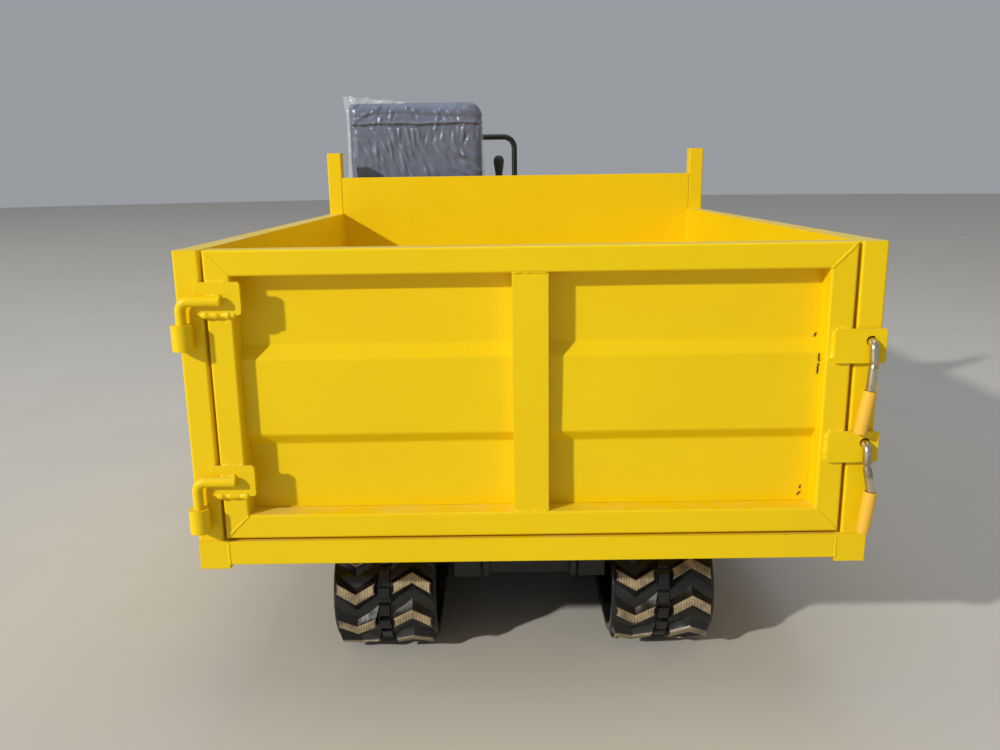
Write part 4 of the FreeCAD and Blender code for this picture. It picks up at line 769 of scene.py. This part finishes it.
def buildLatches(look, rows):
    # Insets run from the post's outer side, heights down from the bed's top edge
    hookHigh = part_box("latch_hooks")[1]
    gripLow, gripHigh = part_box("latch_handles")
    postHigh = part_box("rear_post_right")[1]
    bedTop = postHigh.z
    hangY = (gripLow.y + gripHigh.y) / 2
    for side, row in rows.items():
        x = postHigh.x - row["inset"]
        top = np.array([x + row["shift"], hangY, bedTop - row["grip"]])
        foot = top + np.array([row["lean"], 0, -look["sleeveLength"]])
        hole = bedTop - row["hole"] - 0.0015
        route = [(x, hookHigh.y, hole), (x, hangY + 0.002, hole),
                 (x, hangY - 0.002, hole - look["pinch"]), tuple(top),
                 tuple(top + (foot - top) * 0.8)]
        path = densePath(smoothPath(route, look["bend"]), 0.002)
        drop = path[:, 2] - (hole - look["pinch"])
        radius = look["rodRadius"] * (1 - 0.26 * np.exp(-(drop / 0.0045) ** 2))
        mesh = makeMesh("hookRod." + side, sweep(path, (1, 0, 0), roundProfile(radius)), 40)
        addPiece("hookRod." + side, mesh, zincSteel, "gate",
                 ["latch_hooks"] if side == "upper" else [])
        r, long = look["sleeveRadius"], look["sleeveLength"]
        inside = look["rodRadius"] + 0.0006
        profile = [(0.012, inside), (0.0, inside + 0.001), (0.0, r - 0.001), (0.0012, r),
                   (0.5 * long, r * 0.985), (long - 0.003, r * 0.94), (long, r * 0.90),
                   (long, 0.004)]
        mesh = makeMesh("hookSleeve." + side, turned(top, foot - top, profile, 40), 32)
        addPiece("hookSleeve." + side, mesh, sleeveVinyl, "gate",
                 ["latch_handles"] if side == "upper" else [])


buildLatches(latchShape, latchRows)
print("latches")

# Weld beads
beadShape = {"wobble": 0.07, "lobe": 0.007, "swell": 0.19}
# Heights of the rows that are welded, all down from the bed's top edge
weldRows = {"straps": ((0.059, 0.122), (0.423, 0.486)), "rods": (0.0935, 0.452),
            "plates": ((0.165, 0.232), (0.369, 0.432)), "knuckles": ((0.1375, 0.1875), (0.5075, 0.556))}


def weldBead(start, end, facing, width, rng, rise=0.45):
    # Half-round bead from start to end: its width and height ripple along the run
    start, end, facing = (np.asarray(v, float) for v in (start, end, facing))
    length = np.linalg.norm(end - start)
    steps = max(6, int(length / 0.0015))
    share = np.linspace(0, 1, steps)
    path = start + (end - start) * share[:, None]
    facing = unit(facing)
    across = unit(np.cross(facing, end - start))
    wander = np.convolve(rng.normal(0, 1, steps + 8), np.hanning(9) / 4, "valid")[:steps]
    knots = rng.normal(0, 1, int(length / beadShape["lobe"]) + 3)
    lobes = np.interp(share * length / beadShape["lobe"], np.arange(len(knots)), knots)
    size = 1 + beadShape["wobble"] * wander + beadShape["swell"] * lobes
    size = np.clip(size, 0.45, 1.7) * np.minimum(1, 8 * np.minimum(share, 1 - share) + 0.3)
    path = path + across * (wander * 0.0006)[:, None]
    angle = np.linspace(0, np.pi, 7)
    arc = np.stack([np.cos(angle) * width / 2, np.sin(angle) * width * rise], 1)
    arc = np.vstack([arc, [(-width / 2, -0.001), (width / 2, -0.001)]])
    rings = path[:, None] + across * arc[None, :, :1] * size[:, None, None]
    rings = rings + facing * arc[None, :, 1:] * size[:, None, None]
    return loft(rings)


def buildWelds(rows):
    rng = np.random.default_rng(21)
    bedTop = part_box("rear_post_right")[1].z
    gLow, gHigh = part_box("gate_frame")
    tube = gHigh.y - gLow.y
    back = (0, -1, 0)
    y = gLow.y
    gate = []
    for sx in (-1, 1):
        x = gLow.x if sx < 0 else gHigh.x
        for z, sz in ((gHigh.z, -1), (gLow.z, 1)):
            rough = sx > 0 or sz > 0
            gate += weldBead((x - sx * 0.004, y, z + sz * 0.004), (x - sx * tube, y, z + sz * tube), back,
                             0.006 if rough else 0.0022, rng, 0.22 if rough else 0.12)
    sLow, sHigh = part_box("gate_hinges")
    pLow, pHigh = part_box("latch_plates")
    for (top, bottom), below in zip(rows["straps"], rows["rods"]):
        gate += weldBead((gLow.x - 0.012, y - 0.004, bedTop - bottom), (sHigh.x - 0.010, y - 0.004,
                         bedTop - bottom), (0, -1, -0.8), 0.013, rng, 0.5)
        gate += weldBead((gLow.x + 0.004, y, bedTop - top), (gLow.x + tube, y, bedTop - top),
                         (0, -1, 0.6), 0.008, rng, 0.4)
        rod = bedTop - below
        gate += weldBead((gLow.x + 0.006, y - 0.0085, rod - 0.009), (gLow.x + 0.034, y - 0.0085, rod - 0.009),
                         (0, -1, -1), 0.006, rng)
        gate += weldBead((gLow.x + 0.002, y - 0.0085, rod + 0.009), (gLow.x + 0.034, y - 0.0085, rod + 0.009),
                         (0, -1, 1), 0.007, rng)
    for top, bottom in rows["plates"]:
        gate += weldBead((pLow.x, y, bedTop - bottom + 0.004), (pLow.x, y, bedTop - top - 0.004),
                         (-0.6, -1, 0), 0.010, rng, 0.5)
        for z, tilt in ((top, 0.6), (bottom, -0.6)):
            gate += weldBead((pLow.x + 0.003, y, bedTop - z), (gHigh.x - 0.003, y, bedTop - z),
                             (0, -1, tilt), 0.008, rng, 0.4)
    cLow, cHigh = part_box("gate_centre_bar")
    for z, tilt in ((cHigh.z, -1), (cLow.z, 1)):
        gate += weldBead((cLow.x, cLow.y, z), (cHigh.x, cLow.y, z), (0, -1, tilt), 0.006, rng, 0.35)
    mesh = makeMesh("gateWelds", gate, 60)
    addPiece("gateWelds", mesh, yellowEnamel, "gate")

    bed = []
    rLow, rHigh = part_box("rear_post_right")
    lLow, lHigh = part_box("rear_post_left")
    fLow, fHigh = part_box("floor_rails")
    mLow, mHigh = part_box("cross_members")
    for sx in (-1, 1):
        x = sx * (mHigh.x)
        bed += weldBead((x, mLow.y, fLow.z + 0.006), (x, mLow.y, fHigh.z - 0.004), back, 0.005, rng, 0.2)
        bed += weldBead((x, mLow.y + 0.052, fHigh.z), (sx * fHigh.x, mLow.y + 0.052, fHigh.z), (0, 1, 1),
                        0.006, rng)
    hLow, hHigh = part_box("headboard")
    for x, facing in ((hLow.x, (1, -1, 0)), (hHigh.x, (-1, -1, 0))):
        bed += weldBead((x, hLow.y, hLow.z + 0.01), (x, hLow.y, bedTop - 0.002), facing, 0.007, rng)
    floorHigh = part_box("bed_floor")[1].z
    bed += weldBead((hLow.x, hLow.y, floorHigh), (hHigh.x, hLow.y, floorHigh), (0, -1, 1), 0.008, rng)
    for x, facing in ((hLow.x, (1, 0, 1)), (hHigh.x, (-1, 0, 1))):
        bed += weldBead((x, rHigh.y + 0.01, floorHigh), (x, hLow.y, floorHigh), facing, 0.007, rng)
    for top, bottom in rows["knuckles"]:
        bed += weldBead((lLow.x + 0.0285, rLow.y, bedTop - bottom + 0.003),
                        (lLow.x + 0.0285, rLow.y, bedTop - top - 0.003), (1, -1, 0), 0.007, rng)
    mesh = makeMesh("bedWelds", bed, 60)
    addPiece("bedWelds", mesh, yellowEnamel, "bed")


buildWelds(weldRows)
print("welds")

# Seat: foam cushions in grey vinyl, still in the maker's clear film. A pad's outline is drawn in two
# axes with a radius at each corner and pulled along the third; crease leans are in radians.
seatPads = {
    "seatBack": {"node": "seat_backrest", "axes": (0, 2, 1), "inset": (-0.004, 0.016, -0.003),
                 "corners": (0.052, 0.030, 0.02, 0.02), "edge": 0.022, "voxel": 0.0066, "pressure": 3.0,
                 "cap": 0.008, "creases": 440, "rearCreases": 200, "creaseHeight": 0.0066, "seed": 5, "fold": 0.082,
                 "foldDepth": 0.0055, "roll": 0.0058, "arch": 0.016},
    "seatCushion": {"node": "seat_cushion", "axes": (0, 1, 2), "inset": (0.006, 0.006, 0.008),
                    "corners": (0.06, 0.06, 0.03, 0.03), "edge": 0.026, "voxel": 0.009, "pressure": 3.0,
                    "cap": 0.008, "creases": 110, "rearCreases": 0, "creaseHeight": 0.0030, "seed": 9, "fold": 0.048,
                    "foldDepth": 0.006, "roll": 0.0, "arch": 0.0},
}
# Strips of the film that stand off the back: ends in shares of its box, widths in metres
filmStrips = {
    "filmTop": {"start": (-0.02, 0.35, 0.965), "end": (0.42, 0.35, 0.995), "out": (-0.12, 0.1, 1.0),
                "widths": (0.044, 0.036, 0.026, 0.015, 0.006), "wave": 0.006, "seed": 3},
    "filmLeft": {"start": (0.012, 0.2, 0.30), "end": (0.012, 0.2, 0.96), "out": (-1.0, 0.35, 0.0),
                 "widths": (0.014, 0.016, 0.011, 0.009, 0.010), "wave": 0.004, "seed": 11},
    "filmRight": {"start": (0.996, 0.4, 0.35), "end": (0.996, 0.4, 0.88), "out": (1.0, -0.4, 0.0),
                  "widths": (0.006, 0.009, 0.006, 0.008), "wave": 0.002, "seed": 8},
}


def bakeModifiers(piece):
    bpy.context.view_layer.update()
    shaped = piece.evaluated_get(bpy.context.evaluated_depsgraph_get())
    mesh = bpy.data.meshes.new_from_object(shaped)
    piece.modifiers.clear()
    piece.data = mesh


def padBlock(low, high, look):
    # Rounded outline pulled along the third axis; towards both ends it draws in by
    # edge - sqrt(edge^2 - t^2), where t is how far past the edge's start the ring lies
    u, v, w = look["axes"]
    edge = look["edge"]
    middle, half = (low + high) / 2, (high - low) / 2
    turn = np.linspace(0, np.pi / 2, 9)
    rings = []
    for share in np.sin(np.linspace(-np.pi / 2, np.pi / 2, 13)):
        t = np.clip(abs(share) * half[w] - (half[w] - edge), 0, edge)
        inset = edge - math.sqrt(edge ** 2 - t ** 2)
        outline = []
        for radius, su, sv, begin in zip(look["corners"], (1, -1, -1, 1), (1, 1, -1, -1), range(4)):
            r = max(radius - inset, 0.004)
            angle = turn + begin * np.pi / 2
            outline.append(np.stack([su * (half[u] - inset - r) + r * np.cos(angle),
                                     sv * (half[v] - inset - r) + r * np.sin(angle)], 1))
        outline = np.vstack(outline)
        ring = np.zeros((len(outline), 3))
        ring[:, u], ring[:, v], ring[:, w] = outline[:, 0], outline[:, 1], share * half[w]
        rings.append(middle + ring)
    return loft(rings)


def inflate(piece, look):
    # Air pressure from inside; no point moves further than the cap
    rest = getPoints(piece.data)
    cloth = piece.modifiers.new("cloth", "CLOTH")
    cloth.settings.quality = 5
    cloth.settings.mass = 0.3
    cloth.settings.use_pressure = True
    cloth.settings.uniform_pressure_force = look["pressure"]
    cloth.settings.effector_weights.gravity = 0
    cloth.collision_settings.use_collision = False
    for number in range(1, 21):
        scene.frame_set(number)
    shaped = piece.evaluated_get(bpy.context.evaluated_depsgraph_get())
    moved = getPoints(shaped.data)
    piece.modifiers.clear()
    scene.frame_set(1)
    shift = moved - rest
    far = np.linalg.norm(shift, axis=1, keepdims=True)
    setPoints(piece.data, rest + shift * np.minimum(1, look["cap"] / np.maximum(far, 1e-9)))


def addCreases(mesh, look, low, high):
    # Ridges of the film: below the fold a row that fans from the left edge, under it one that leans
    # right, above it a fan from the middle. Each falls off across and along; all are summed.
    rng = np.random.default_rng(look["seed"])
    points, normals = getPoints(mesh), getNormals(mesh)
    lift = np.zeros(len(points))
    shown = np.flatnonzero((points[:, 1] < (low[1] + high[1]) / 2) & (points[:, 2] > high[2] - 0.28))
    for number in range(look["creases"]):
        spot = points[rng.choice(shown) if number < look["rearCreases"] else rng.integers(len(points))]
        share = (spot[0] - low[0]) / (high[0] - low[0])
        down = high[2] - look["fold"] - spot[2]
        if down < 0:
            lean = np.interp(share, [0, 0.5, 1], [-1.3, 0.3, 1.2])
        elif down < 0.06:
            lean = np.interp(share, [0, 0.35, 0.5, 1], [1.05, 0.4, 0.05, -0.45])
        else:
            lean = np.interp(share, [0, 0.5, 1], [0.25, 0.5, 1.0])
        lean += rng.normal(0, 0.16)
        along = unit(np.array([math.sin(lean), 0.15 * rng.normal(), -math.cos(lean)]))
        offset = points - spot
        run = offset @ along
        far = np.linalg.norm(offset - run[:, None] * along, axis=1)
        width, reach = rng.uniform(0.0042, 0.0070), rng.uniform(0.016, 0.036)
        height = look["creaseHeight"] * rng.uniform(-0.6, 1.0)
        lift += height * np.exp(-(far / width) ** 2 - (run / reach) ** 2)
    lift *= 0.3 + 0.7 * np.abs(normals[:, look["axes"][2]])      # flatter where the pad turns its edge
    setPoints(mesh, points + normals * lift[:, None])


def buildPad(name, look):
    low, high = (np.array(v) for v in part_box(look["node"]))
    inset = np.array(look["inset"])
    mesh = makeMesh(name, padBlock(low + inset, high - inset, look), 180)
    piece = addPiece(name, mesh, seatVinyl, "chassis", [look["node"]])
    remesh = piece.modifiers.new("remesh", "REMESH")
    remesh.mode = "VOXEL"
    remesh.voxel_size = look["voxel"]
    remesh.use_smooth_shade = True
    bakeModifiers(piece)
    inflate(piece, look)
    finer = piece.modifiers.new("finer", "SUBSURF")
    finer.levels = finer.render_levels = 1
    bakeModifiers(piece)
    mesh = piece.data
    points, normals = getPoints(mesh), getNormals(mesh)
    # The sewn fold: a groove all round, a roll above it, and over the roll a second, arched groove
    waver = 0.0015 * np.sin(points[:, 0] * 23) + 0.0010 * np.sin(points[:, 0] * 61 + 1)
    line = points[:, 2] - (high[2] - look["fold"] + waver)
    share = (points[:, 0] - low[0]) / (high[0] - low[0])
    arched = line - 0.021 - look["arch"] * np.exp(-((share - 0.4) / 0.3) ** 2)
    groove = np.exp(-((line + 0.005) / 0.0050) ** 2) + 0.6 * np.sign(look["roll"]) * np.exp(
        -(arched / 0.0070) ** 2)
    roll = np.exp(-((line - 0.004) / 0.005) ** 2)
    fade = 1 - 0.75 * np.abs(normals[:, 0])                 # shallower round the sides
    lift = fade * (look["roll"] * roll - look["foldDepth"] * groove)
    setPoints(mesh, points + normals * lift[:, None])
    addCreases(mesh, look, low, high)
    setPoints(mesh, np.clip(getPoints(mesh), low - 0.006, high + 0.006))
    print(name, "vertices", len(points))
    return piece


def buildStrip(name, look, pad):
    # A strip of film on a line, given in shares of the back's box; its free edge stands out by the
    # widths and waves more the further out it is. It is 0.4 mm thick and closed.
    points = getPoints(pad.data)
    low, high = points.min(0), points.max(0)
    start, end = (low + (high - low) * np.array(look[k]) for k in ("start", "end"))
    rng = np.random.default_rng(look["seed"])
    s = np.linspace(0, 1, 90)
    v = np.linspace(-0.35, 1, 9)
    out = unit(np.array(look["out"]))
    side = unit(np.cross(out, end - start))
    width = np.interp(s, np.linspace(0, 1, len(look["widths"])), look["widths"])
    width = width * (1 + 0.10 * np.sin(s * 19) + 0.05 * np.sin(s * 47 + 2))
    bend = sum(rng.normal() / k * np.sin(2 * np.pi * k * s + rng.uniform(0, 6)) for k in range(2, 9))
    sway = look["wave"] * bend[:, None] * np.clip(v, 0, 1) ** 1.3
    grid = (start + (end - start) * s[:, None])[:, None] + out * (width[:, None] * v)[..., None]
    grid = grid + side * sway[..., None]
    thin = side * 0.0004
    mesh = makeMesh(name, loft(np.concatenate([grid, grid[:, ::-1] + thin], 1)), 40)
    piece = addPiece(name, mesh, clearFilm, "chassis")


pads = {name: buildPad(name, look) for name, look in seatPads.items()}
for name, look in filmStrips.items():
    buildStrip(name, look, pads["seatBack"])

# Levers on the two consoles. Distances on a knob or grip run down from its top.
leverShape = {"stem": 0.006, "lean": 0.090, "rise": 0.230, "sink": 0.040, "grip": 0.017,
              "gripLength": 0.110, "rib": 0.0065, "ribDepth": 0.0007, "boot": 0.024, "bootHeight": 0.040,
              "folds": 4}
# Feet run from the side console's left rear corner
sideLevers = {"tall": {"x": 0.0255, "y": 0.150, "top": 1.151, "radius": 0.021, "length": 0.095},
              "short": {"x": 0.0750, "y": 0.210, "top": 0.960, "radius": 0.016, "length": 0.060},
              "last": {"x": 0.0255, "y": 0.260, "top": 0.940, "radius": 0.016, "length": 0.060}}
knobLine = [(0.0, 0.04), (0.012, 0.30), (0.04, 0.60), (0.10, 0.86), (0.19, 0.99), (0.28, 1.0),
            (0.42, 0.92), (0.60, 0.78), (0.79, 0.67), (0.96, 0.62), (1.0, 0.56)]


def bellows(foot, along, look):
    # Rubber boot: its radius swings between folds and narrows to the stem
    share = np.linspace(0, 1, 8 * look["folds"] + 1)
    swing = 1 - 0.16 * (0.5 - 0.5 * np.cos(2 * np.pi * look["folds"] * share))
    radius = (look["boot"] + (look["stem"] + 0.003 - look["boot"]) * share) * swing
    return turned(foot, along, np.stack([share * look["bootHeight"], radius], 1), 28)


def buildLevers(look, rows):
    console, leverLow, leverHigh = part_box("control_console"), *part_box("travel_levers")
    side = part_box("side_console")
    middle = (leverLow.x + leverHigh.x) / 2
    spread = (leverHigh.x - leverLow.x) / 2 - look["grip"]
    stems, grips, boots = [], [], []
    for x in (middle - spread, middle + spread):
        foot = np.array([x, (console[0].y + console[1].y) / 2, console[1].z - look["sink"]])
        top = foot + np.array([0, -look["lean"], look["rise"]])
        down = unit(foot - top)
        stems += turned(foot, -down, [(0, look["stem"]), (look["rise"] * 0.9, look["stem"])], 20)
        share = np.arange(0.010, look["gripLength"] - 0.006, look["rib"] / 6)
        rib = look["grip"] - look["ribDepth"] * (1 - np.cos(2 * np.pi * share / look["rib"]))
        ends = [(0, 0.004), (0.001, 0.010), (0.004, 0.0152), (0.008, look["grip"])]
        line = ends + list(zip(share, rib)) + [(look["gripLength"] - 0.004, look["grip"] + 0.0014),
                                               (look["gripLength"], look["grip"]),
                                               (look["gripLength"], look["stem"])]
        grips += turned(top, down, line, 32)
        boots += bellows(foot - down * 0.006, -down, look)
    addPiece("leverGrips", makeMesh("leverGrips", grips, 50), gripFoam, "chassis",
             ["travel_levers"])
    knobs = []
    for row in rows.values():
        foot = np.array([side[0].x + row["x"], side[0].y + row["y"], side[1].z])
        top = np.array([foot[0], foot[1], row["top"]])
        stems += turned(foot, (0, 0, 1), [(0, look["stem"]), (row["top"] - foot[2] - 0.5 * row["length"],
                                                             look["stem"])], 20)
        line = [(at * row["length"], r * row["radius"]) for at, r in knobLine]
        knobs += turned(top, (0, 0, -1), line, 36)
        boots += bellows(foot, (0, 0, 1), look)
    addPiece("leverKnobs", makeMesh("leverKnobs", knobs, 50), gripFoam, "chassis",
             ["auxiliary_levers"])
    addPiece("leverStems", makeMesh("leverStems", stems, 40), zincSteel, "chassis")
    addPiece("leverBoots", makeMesh("leverBoots", boots, 60), blackPlastic, "chassis")


buildLevers(leverShape, sideLevers)
print("levers")

# Head lamps: rim, reflector bowl and fluted lens in front of each housing
lampShape = {"rim": 0.056, "bowl": 0.047, "lift": 0.008, "lens": 0.0485, "crown": 0.005, "sink": 0.020}


def buildLamps(look):
    low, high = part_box("head_lamps")
    z, y = high.z - (high.x - low.x) * 0, high.y
    radius = look["rim"] - 0.001
    rims, lenses = [], []
    for x in (low.x + radius, high.x - radius):
        centre = np.array([x, y, high.z - radius])
        lift, rim = look["lift"], look["rim"]
        rims += turned(centre, (0, 1, 0), [(-0.006, rim - 0.0005), (lift - 0.002, rim), (lift, rim - 0.002),
                                           (lift, look["bowl"] + 0.002), (0.001, look["bowl"]),
                                           (0.0005, 0.001)], 64)
        share = np.linspace(0, 1, 9)[:-1]
        crown = lift - 0.002 + look["crown"] * (1 - share[::-1] ** 2)
        dome = [(0.0030, 0.004), (0.0030, look["lens"]), (lift - 0.002, look["lens"])]
        dome += list(zip(crown, look["lens"] * share[::-1] + 0.0004))
        lenses += turned(centre, (0, 1, 0), dome, 64)
    addPiece("lampRims", makeMesh("lampRims", rims, 40), hardChrome, "chassis")
    addPiece("lampLenses", makeMesh("lampLenses", lenses, 40), lampGlass, "chassis")


buildLamps(lampShape)
print("lamps")

# Raised lozenges of the deck's chequer plate
plateShape = {"pitch": 0.027, "half": 0.011, "thick": 0.0030, "height": 0.0013, "margin": 0.014}


def buildPlate(look):
    low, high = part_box("deck")
    half, thick, height = look["half"], look["thick"], look["height"]
    rings = [np.array([(half * a, 0, z), (0, thick * a, z), (-half * a, 0, z), (0, -thick * a, z)])
             for z, a in ((-0.0005, 1.0), (height, 0.68))]
    x, y = np.meshgrid(np.arange(low.x + look["margin"] + half, high.x - look["margin"], look["pitch"]),
                       np.arange(low.y + look["margin"] + half, high.y - look["margin"], look["pitch"]),
                       indexing="ij")
    row, column = np.indices(x.shape)
    free = np.ones(x.shape, bool)
    reach = look["margin"]
    for node in ("seat_base", "fuel_tank", "control_console", "side_console", "engine_hood"):
        a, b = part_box(node)
        free &= (x < a.x - reach) | (x > b.x + reach) | (y < a.y - reach) | (y > b.y + reach)
    railLow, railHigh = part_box("hand_rail")
    for railX in (railLow.x + 0.0125, railHigh.x - 0.0125):
        free &= np.hypot(x - railX, y - (railLow.y + railHigh.y) / 2) > 0.048
    turn = np.where((row + column) % 2 == 0, np.pi / 4, -np.pi / 4)[free]
    c, s, zero, one = np.cos(turn), np.sin(turn), 0 * turn, 0 * turn + 1
    turns = np.stack([np.stack([c, -s, zero], -1), np.stack([s, c, zero], -1),
                      np.stack([zero, zero, one], -1)], -2)
    places = np.stack([x[free], y[free], 0 * turn + high.z], -1)
    mesh = makeMesh("plateLozenges", repeated(loft(rings), turns, places), 20)
    addPiece("plateLozenges", mesh, yellowEnamel, "chassis")
    return len(places)


print("lozenges", buildPlate(plateShape))

# Hex bolts with washers, in rows; heights run up from the deck
boltShape = {"flats": 0.013, "head": 0.0065, "washer": 0.0105, "washerThick": 0.0016}


def boltTemplate(look):
    hexagon = np.linspace(0, 2 * np.pi, 6, endpoint=False)
    disc = np.linspace(0, 2 * np.pi, 18, endpoint=False)

    def ring(angle, radius, z):
        return np.stack([radius * np.cos(angle), radius * np.sin(angle), 0 * angle + z], 1)

    corner, thick, top = look["flats"] / math.sqrt(3), look["washerThick"], look["head"]
    return (loft([ring(disc, look["washer"], -0.0005), ring(disc, look["washer"], thick)])
            + loft([ring(hexagon, corner, thick - 0.0004), ring(hexagon, corner, top - 0.001),
                    ring(hexagon, corner * 0.86, top)]))


def buildBolts(look):
    hoodLow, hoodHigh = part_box("engine_hood")
    deckLow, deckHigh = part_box("deck")
    seatLow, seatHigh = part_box("seat_base")
    panelLow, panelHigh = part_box("control_console")
    foot, skirt = deckHigh.z + 0.030, deckHigh.z - 0.030
    rows = [((hoodLow.x, hoodLow.y + 0.05, foot), (hoodLow.x, hoodHigh.y - 0.05, foot), 5, (-1, 0, 0)),
            ((hoodHigh.x, hoodLow.y + 0.05, foot), (hoodHigh.x, hoodHigh.y - 0.05, foot), 5, (1, 0, 0)),
            ((hoodLow.x + 0.06, hoodLow.y, foot), (hoodHigh.x - 0.06, hoodLow.y, foot), 4, (0, -1, 0)),
            ((hoodLow.x + 0.06, hoodHigh.y, foot), (hoodHigh.x - 0.06, hoodHigh.y, foot), 4, (0, 1, 0)),
            ((deckLow.x, deckLow.y + 0.06, skirt), (deckLow.x, deckHigh.y - 0.06, skirt), 4, (-1, 0, 0)),
            ((deckHigh.x, deckLow.y + 0.06, skirt), (deckHigh.x, deckHigh.y - 0.06, skirt), 4, (1, 0, 0)),
            ((seatLow.x + 0.06, seatLow.y, foot), (seatHigh.x - 0.06, seatLow.y, foot), 3, (0, -1, 0)),
            ((seatLow.x + 0.06, seatHigh.y, foot), (seatHigh.x - 0.06, seatHigh.y, foot), 3, (0, 1, 0)),
            ((panelLow.x + 0.04, panelLow.y, foot), (panelHigh.x - 0.04, panelLow.y, foot), 2,
             (0, -1, 0)),
            ((panelLow.x + 0.04, panelHigh.y, foot), (panelHigh.x - 0.04, panelHigh.y, foot), 2,
             (0, 1, 0))]
    rng = np.random.default_rng(4)
    turns, places = [], []
    for start, end, count, facing in rows:
        facing = np.array(facing, float)
        side = unit(np.cross(facing, (0.0, 0.0, 1.0)))
        for share in np.linspace(0, 1, count):
            angle = rng.uniform(0, np.pi / 3)
            across = side * math.cos(angle) + np.array([0, 0, 1.0]) * math.sin(angle)
            turns.append(np.stack([across, np.cross(facing, across), facing], 1))
            places.append(np.array(start) * (1 - share) + np.array(end) * share)
    patches = repeated(boltTemplate(look), np.array(turns), np.array(places))
    addPiece("hexBolts", makeMesh("hexBolts", patches, 25), zincSteel, "chassis")
    return len(places)


print("bolts", buildBolts(boltShape))

# Small fittings: rail flanges, fuel cap, console instruments, the lid's lock and grab handle
fittings = {"flange": 0.034, "flangeThick": 0.006, "cap": 0.037, "capHeight": 0.036, "capSink": 0.060,
            "gauge": 0.026, "keyHeight": 0.040, "lock": 0.015, "handleRise": 0.038, "handleTube": 0.007,
            "handleHalf": 0.11, "handleIn": 0.060, "grabBend": 0.022}


def buildFittings(look):
    railLow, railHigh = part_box("hand_rail")
    tube = (railHigh.y - railLow.y) / 2
    y, floor = (railLow.y + railHigh.y) / 2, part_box("deck")[1].z
    flanges = []
    for x in (railLow.x + tube, railHigh.x - tube):
        line = [(-0.0005, look["flange"]), (look["flangeThick"], look["flange"]),
                (look["flangeThick"] + 0.001, look["flange"] - 0.002), (look["flangeThick"] + 0.001, tube + 0.004),
                (look["flangeThick"] + 0.006, tube + 0.0003)]
        flanges += turned((x, y, floor), (0, 0, 1), line, 40)
    addPiece("railFlanges", makeMesh("railFlanges", flanges, 35), blackEnamel, "chassis")
    tankLow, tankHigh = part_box("fuel_tank")
    capX = (tankLow.x + tankHigh.x) / 2
    capY = tankHigh.y - look["capSink"]
    capTop = tankHigh.z + 0.003
    line = [(0, 0.001), (0.0, look["cap"] * 0.55), (0.003, look["cap"] * 0.60), (0.004, look["cap"] * 0.9),
            (0.007, look["cap"]), (look["capHeight"] - 0.004, look["cap"]), (look["capHeight"], look["cap"] * 0.97)]
    cap = turned((capX, capY, capTop), (0, 0, -1), line, 120, 24, 0.028)
    addPiece("fuelCap", makeMesh("fuelCap", cap, 50), blackPlastic, "chassis")
    panelLow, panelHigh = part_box("control_console")
    middle = (panelLow.x + panelHigh.x) / 2
    face = panelLow.y
    high = panelHigh.z - 0.11
    bezels, keys = [], []
    for x in (middle - 0.055, middle + 0.055):
        bezels += turned((x, face + 0.0005, high), (0, -1, 0), [(0, look["gauge"]), (0.006, look["gauge"]),
                         (0.008, look["gauge"] - 0.003), (0.004, look["gauge"] - 0.005), (0.004, 0.001)], 40)
    keys += turned((middle, face + 0.0005, high), (0, -1, 0), [(0, 0.013), (0.006, 0.013), (0.008, 0.011),
                                                               (0.008, 0.001)], 32)
    keys += loft([[(middle + a * 0.0012, face - depth, high + b * 0.010) for a, b in
                   ((-1, -1), (1, -1), (1, 1), (-1, 1))] for depth in (0.007, 0.030)])
    addPiece("gaugeBezels", makeMesh("gaugeBezels", bezels, 35), blackPlastic, "chassis")
    addPiece("startKey", makeMesh("startKey", keys, 35), zincSteel, "chassis")
    button = turned((middle, face + 0.0005, high - look["keyHeight"] - 0.02), (0, -1, 0),
                    [(0, 0.010), (0.010, 0.010), (0.011, 0.019), (0.018, 0.020), (0.021, 0.015),
                     (0.022, 0.001)], 36)
    addPiece("stopButton", makeMesh("stopButton", button, 45), redPlastic, "chassis")
    lidLow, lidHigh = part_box("hood_lid")
    middle = (lidLow.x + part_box("engine_hood")[1].x) / 2
    back = lidLow.y + look["handleIn"]
    half, rise = look["handleHalf"], look["handleRise"]
    route = [(middle - half, back, lidHigh.z - 0.004), (middle - half, back, lidHigh.z + rise),
             (middle + half, back, lidHigh.z + rise), (middle + half, back, lidHigh.z - 0.004)]
    path = densePath(smoothPath(route, look["grabBend"]), 0.003)
    across = (0, 1, 0)
    handle = sweep(path, across, roundProfile(np.full(len(path), look["handleTube"]), 20))
    addPiece("lidHandle", makeMesh("lidHandle", handle, 40), blackPlastic, "hood_lid")
    lock = turned((middle, lidLow.y + 0.0005, lidLow.z + 0.045), (0, -1, 0),
                  [(0, look["lock"]), (0.003, look["lock"]), (0.004, look["lock"] - 0.002),
                   (0.0035, 0.001)], 36)
    addPiece("lidLock", makeMesh("lidLock", lock, 35), zincSteel, "hood_lid")


buildFittings(fittings)
print("fittings")
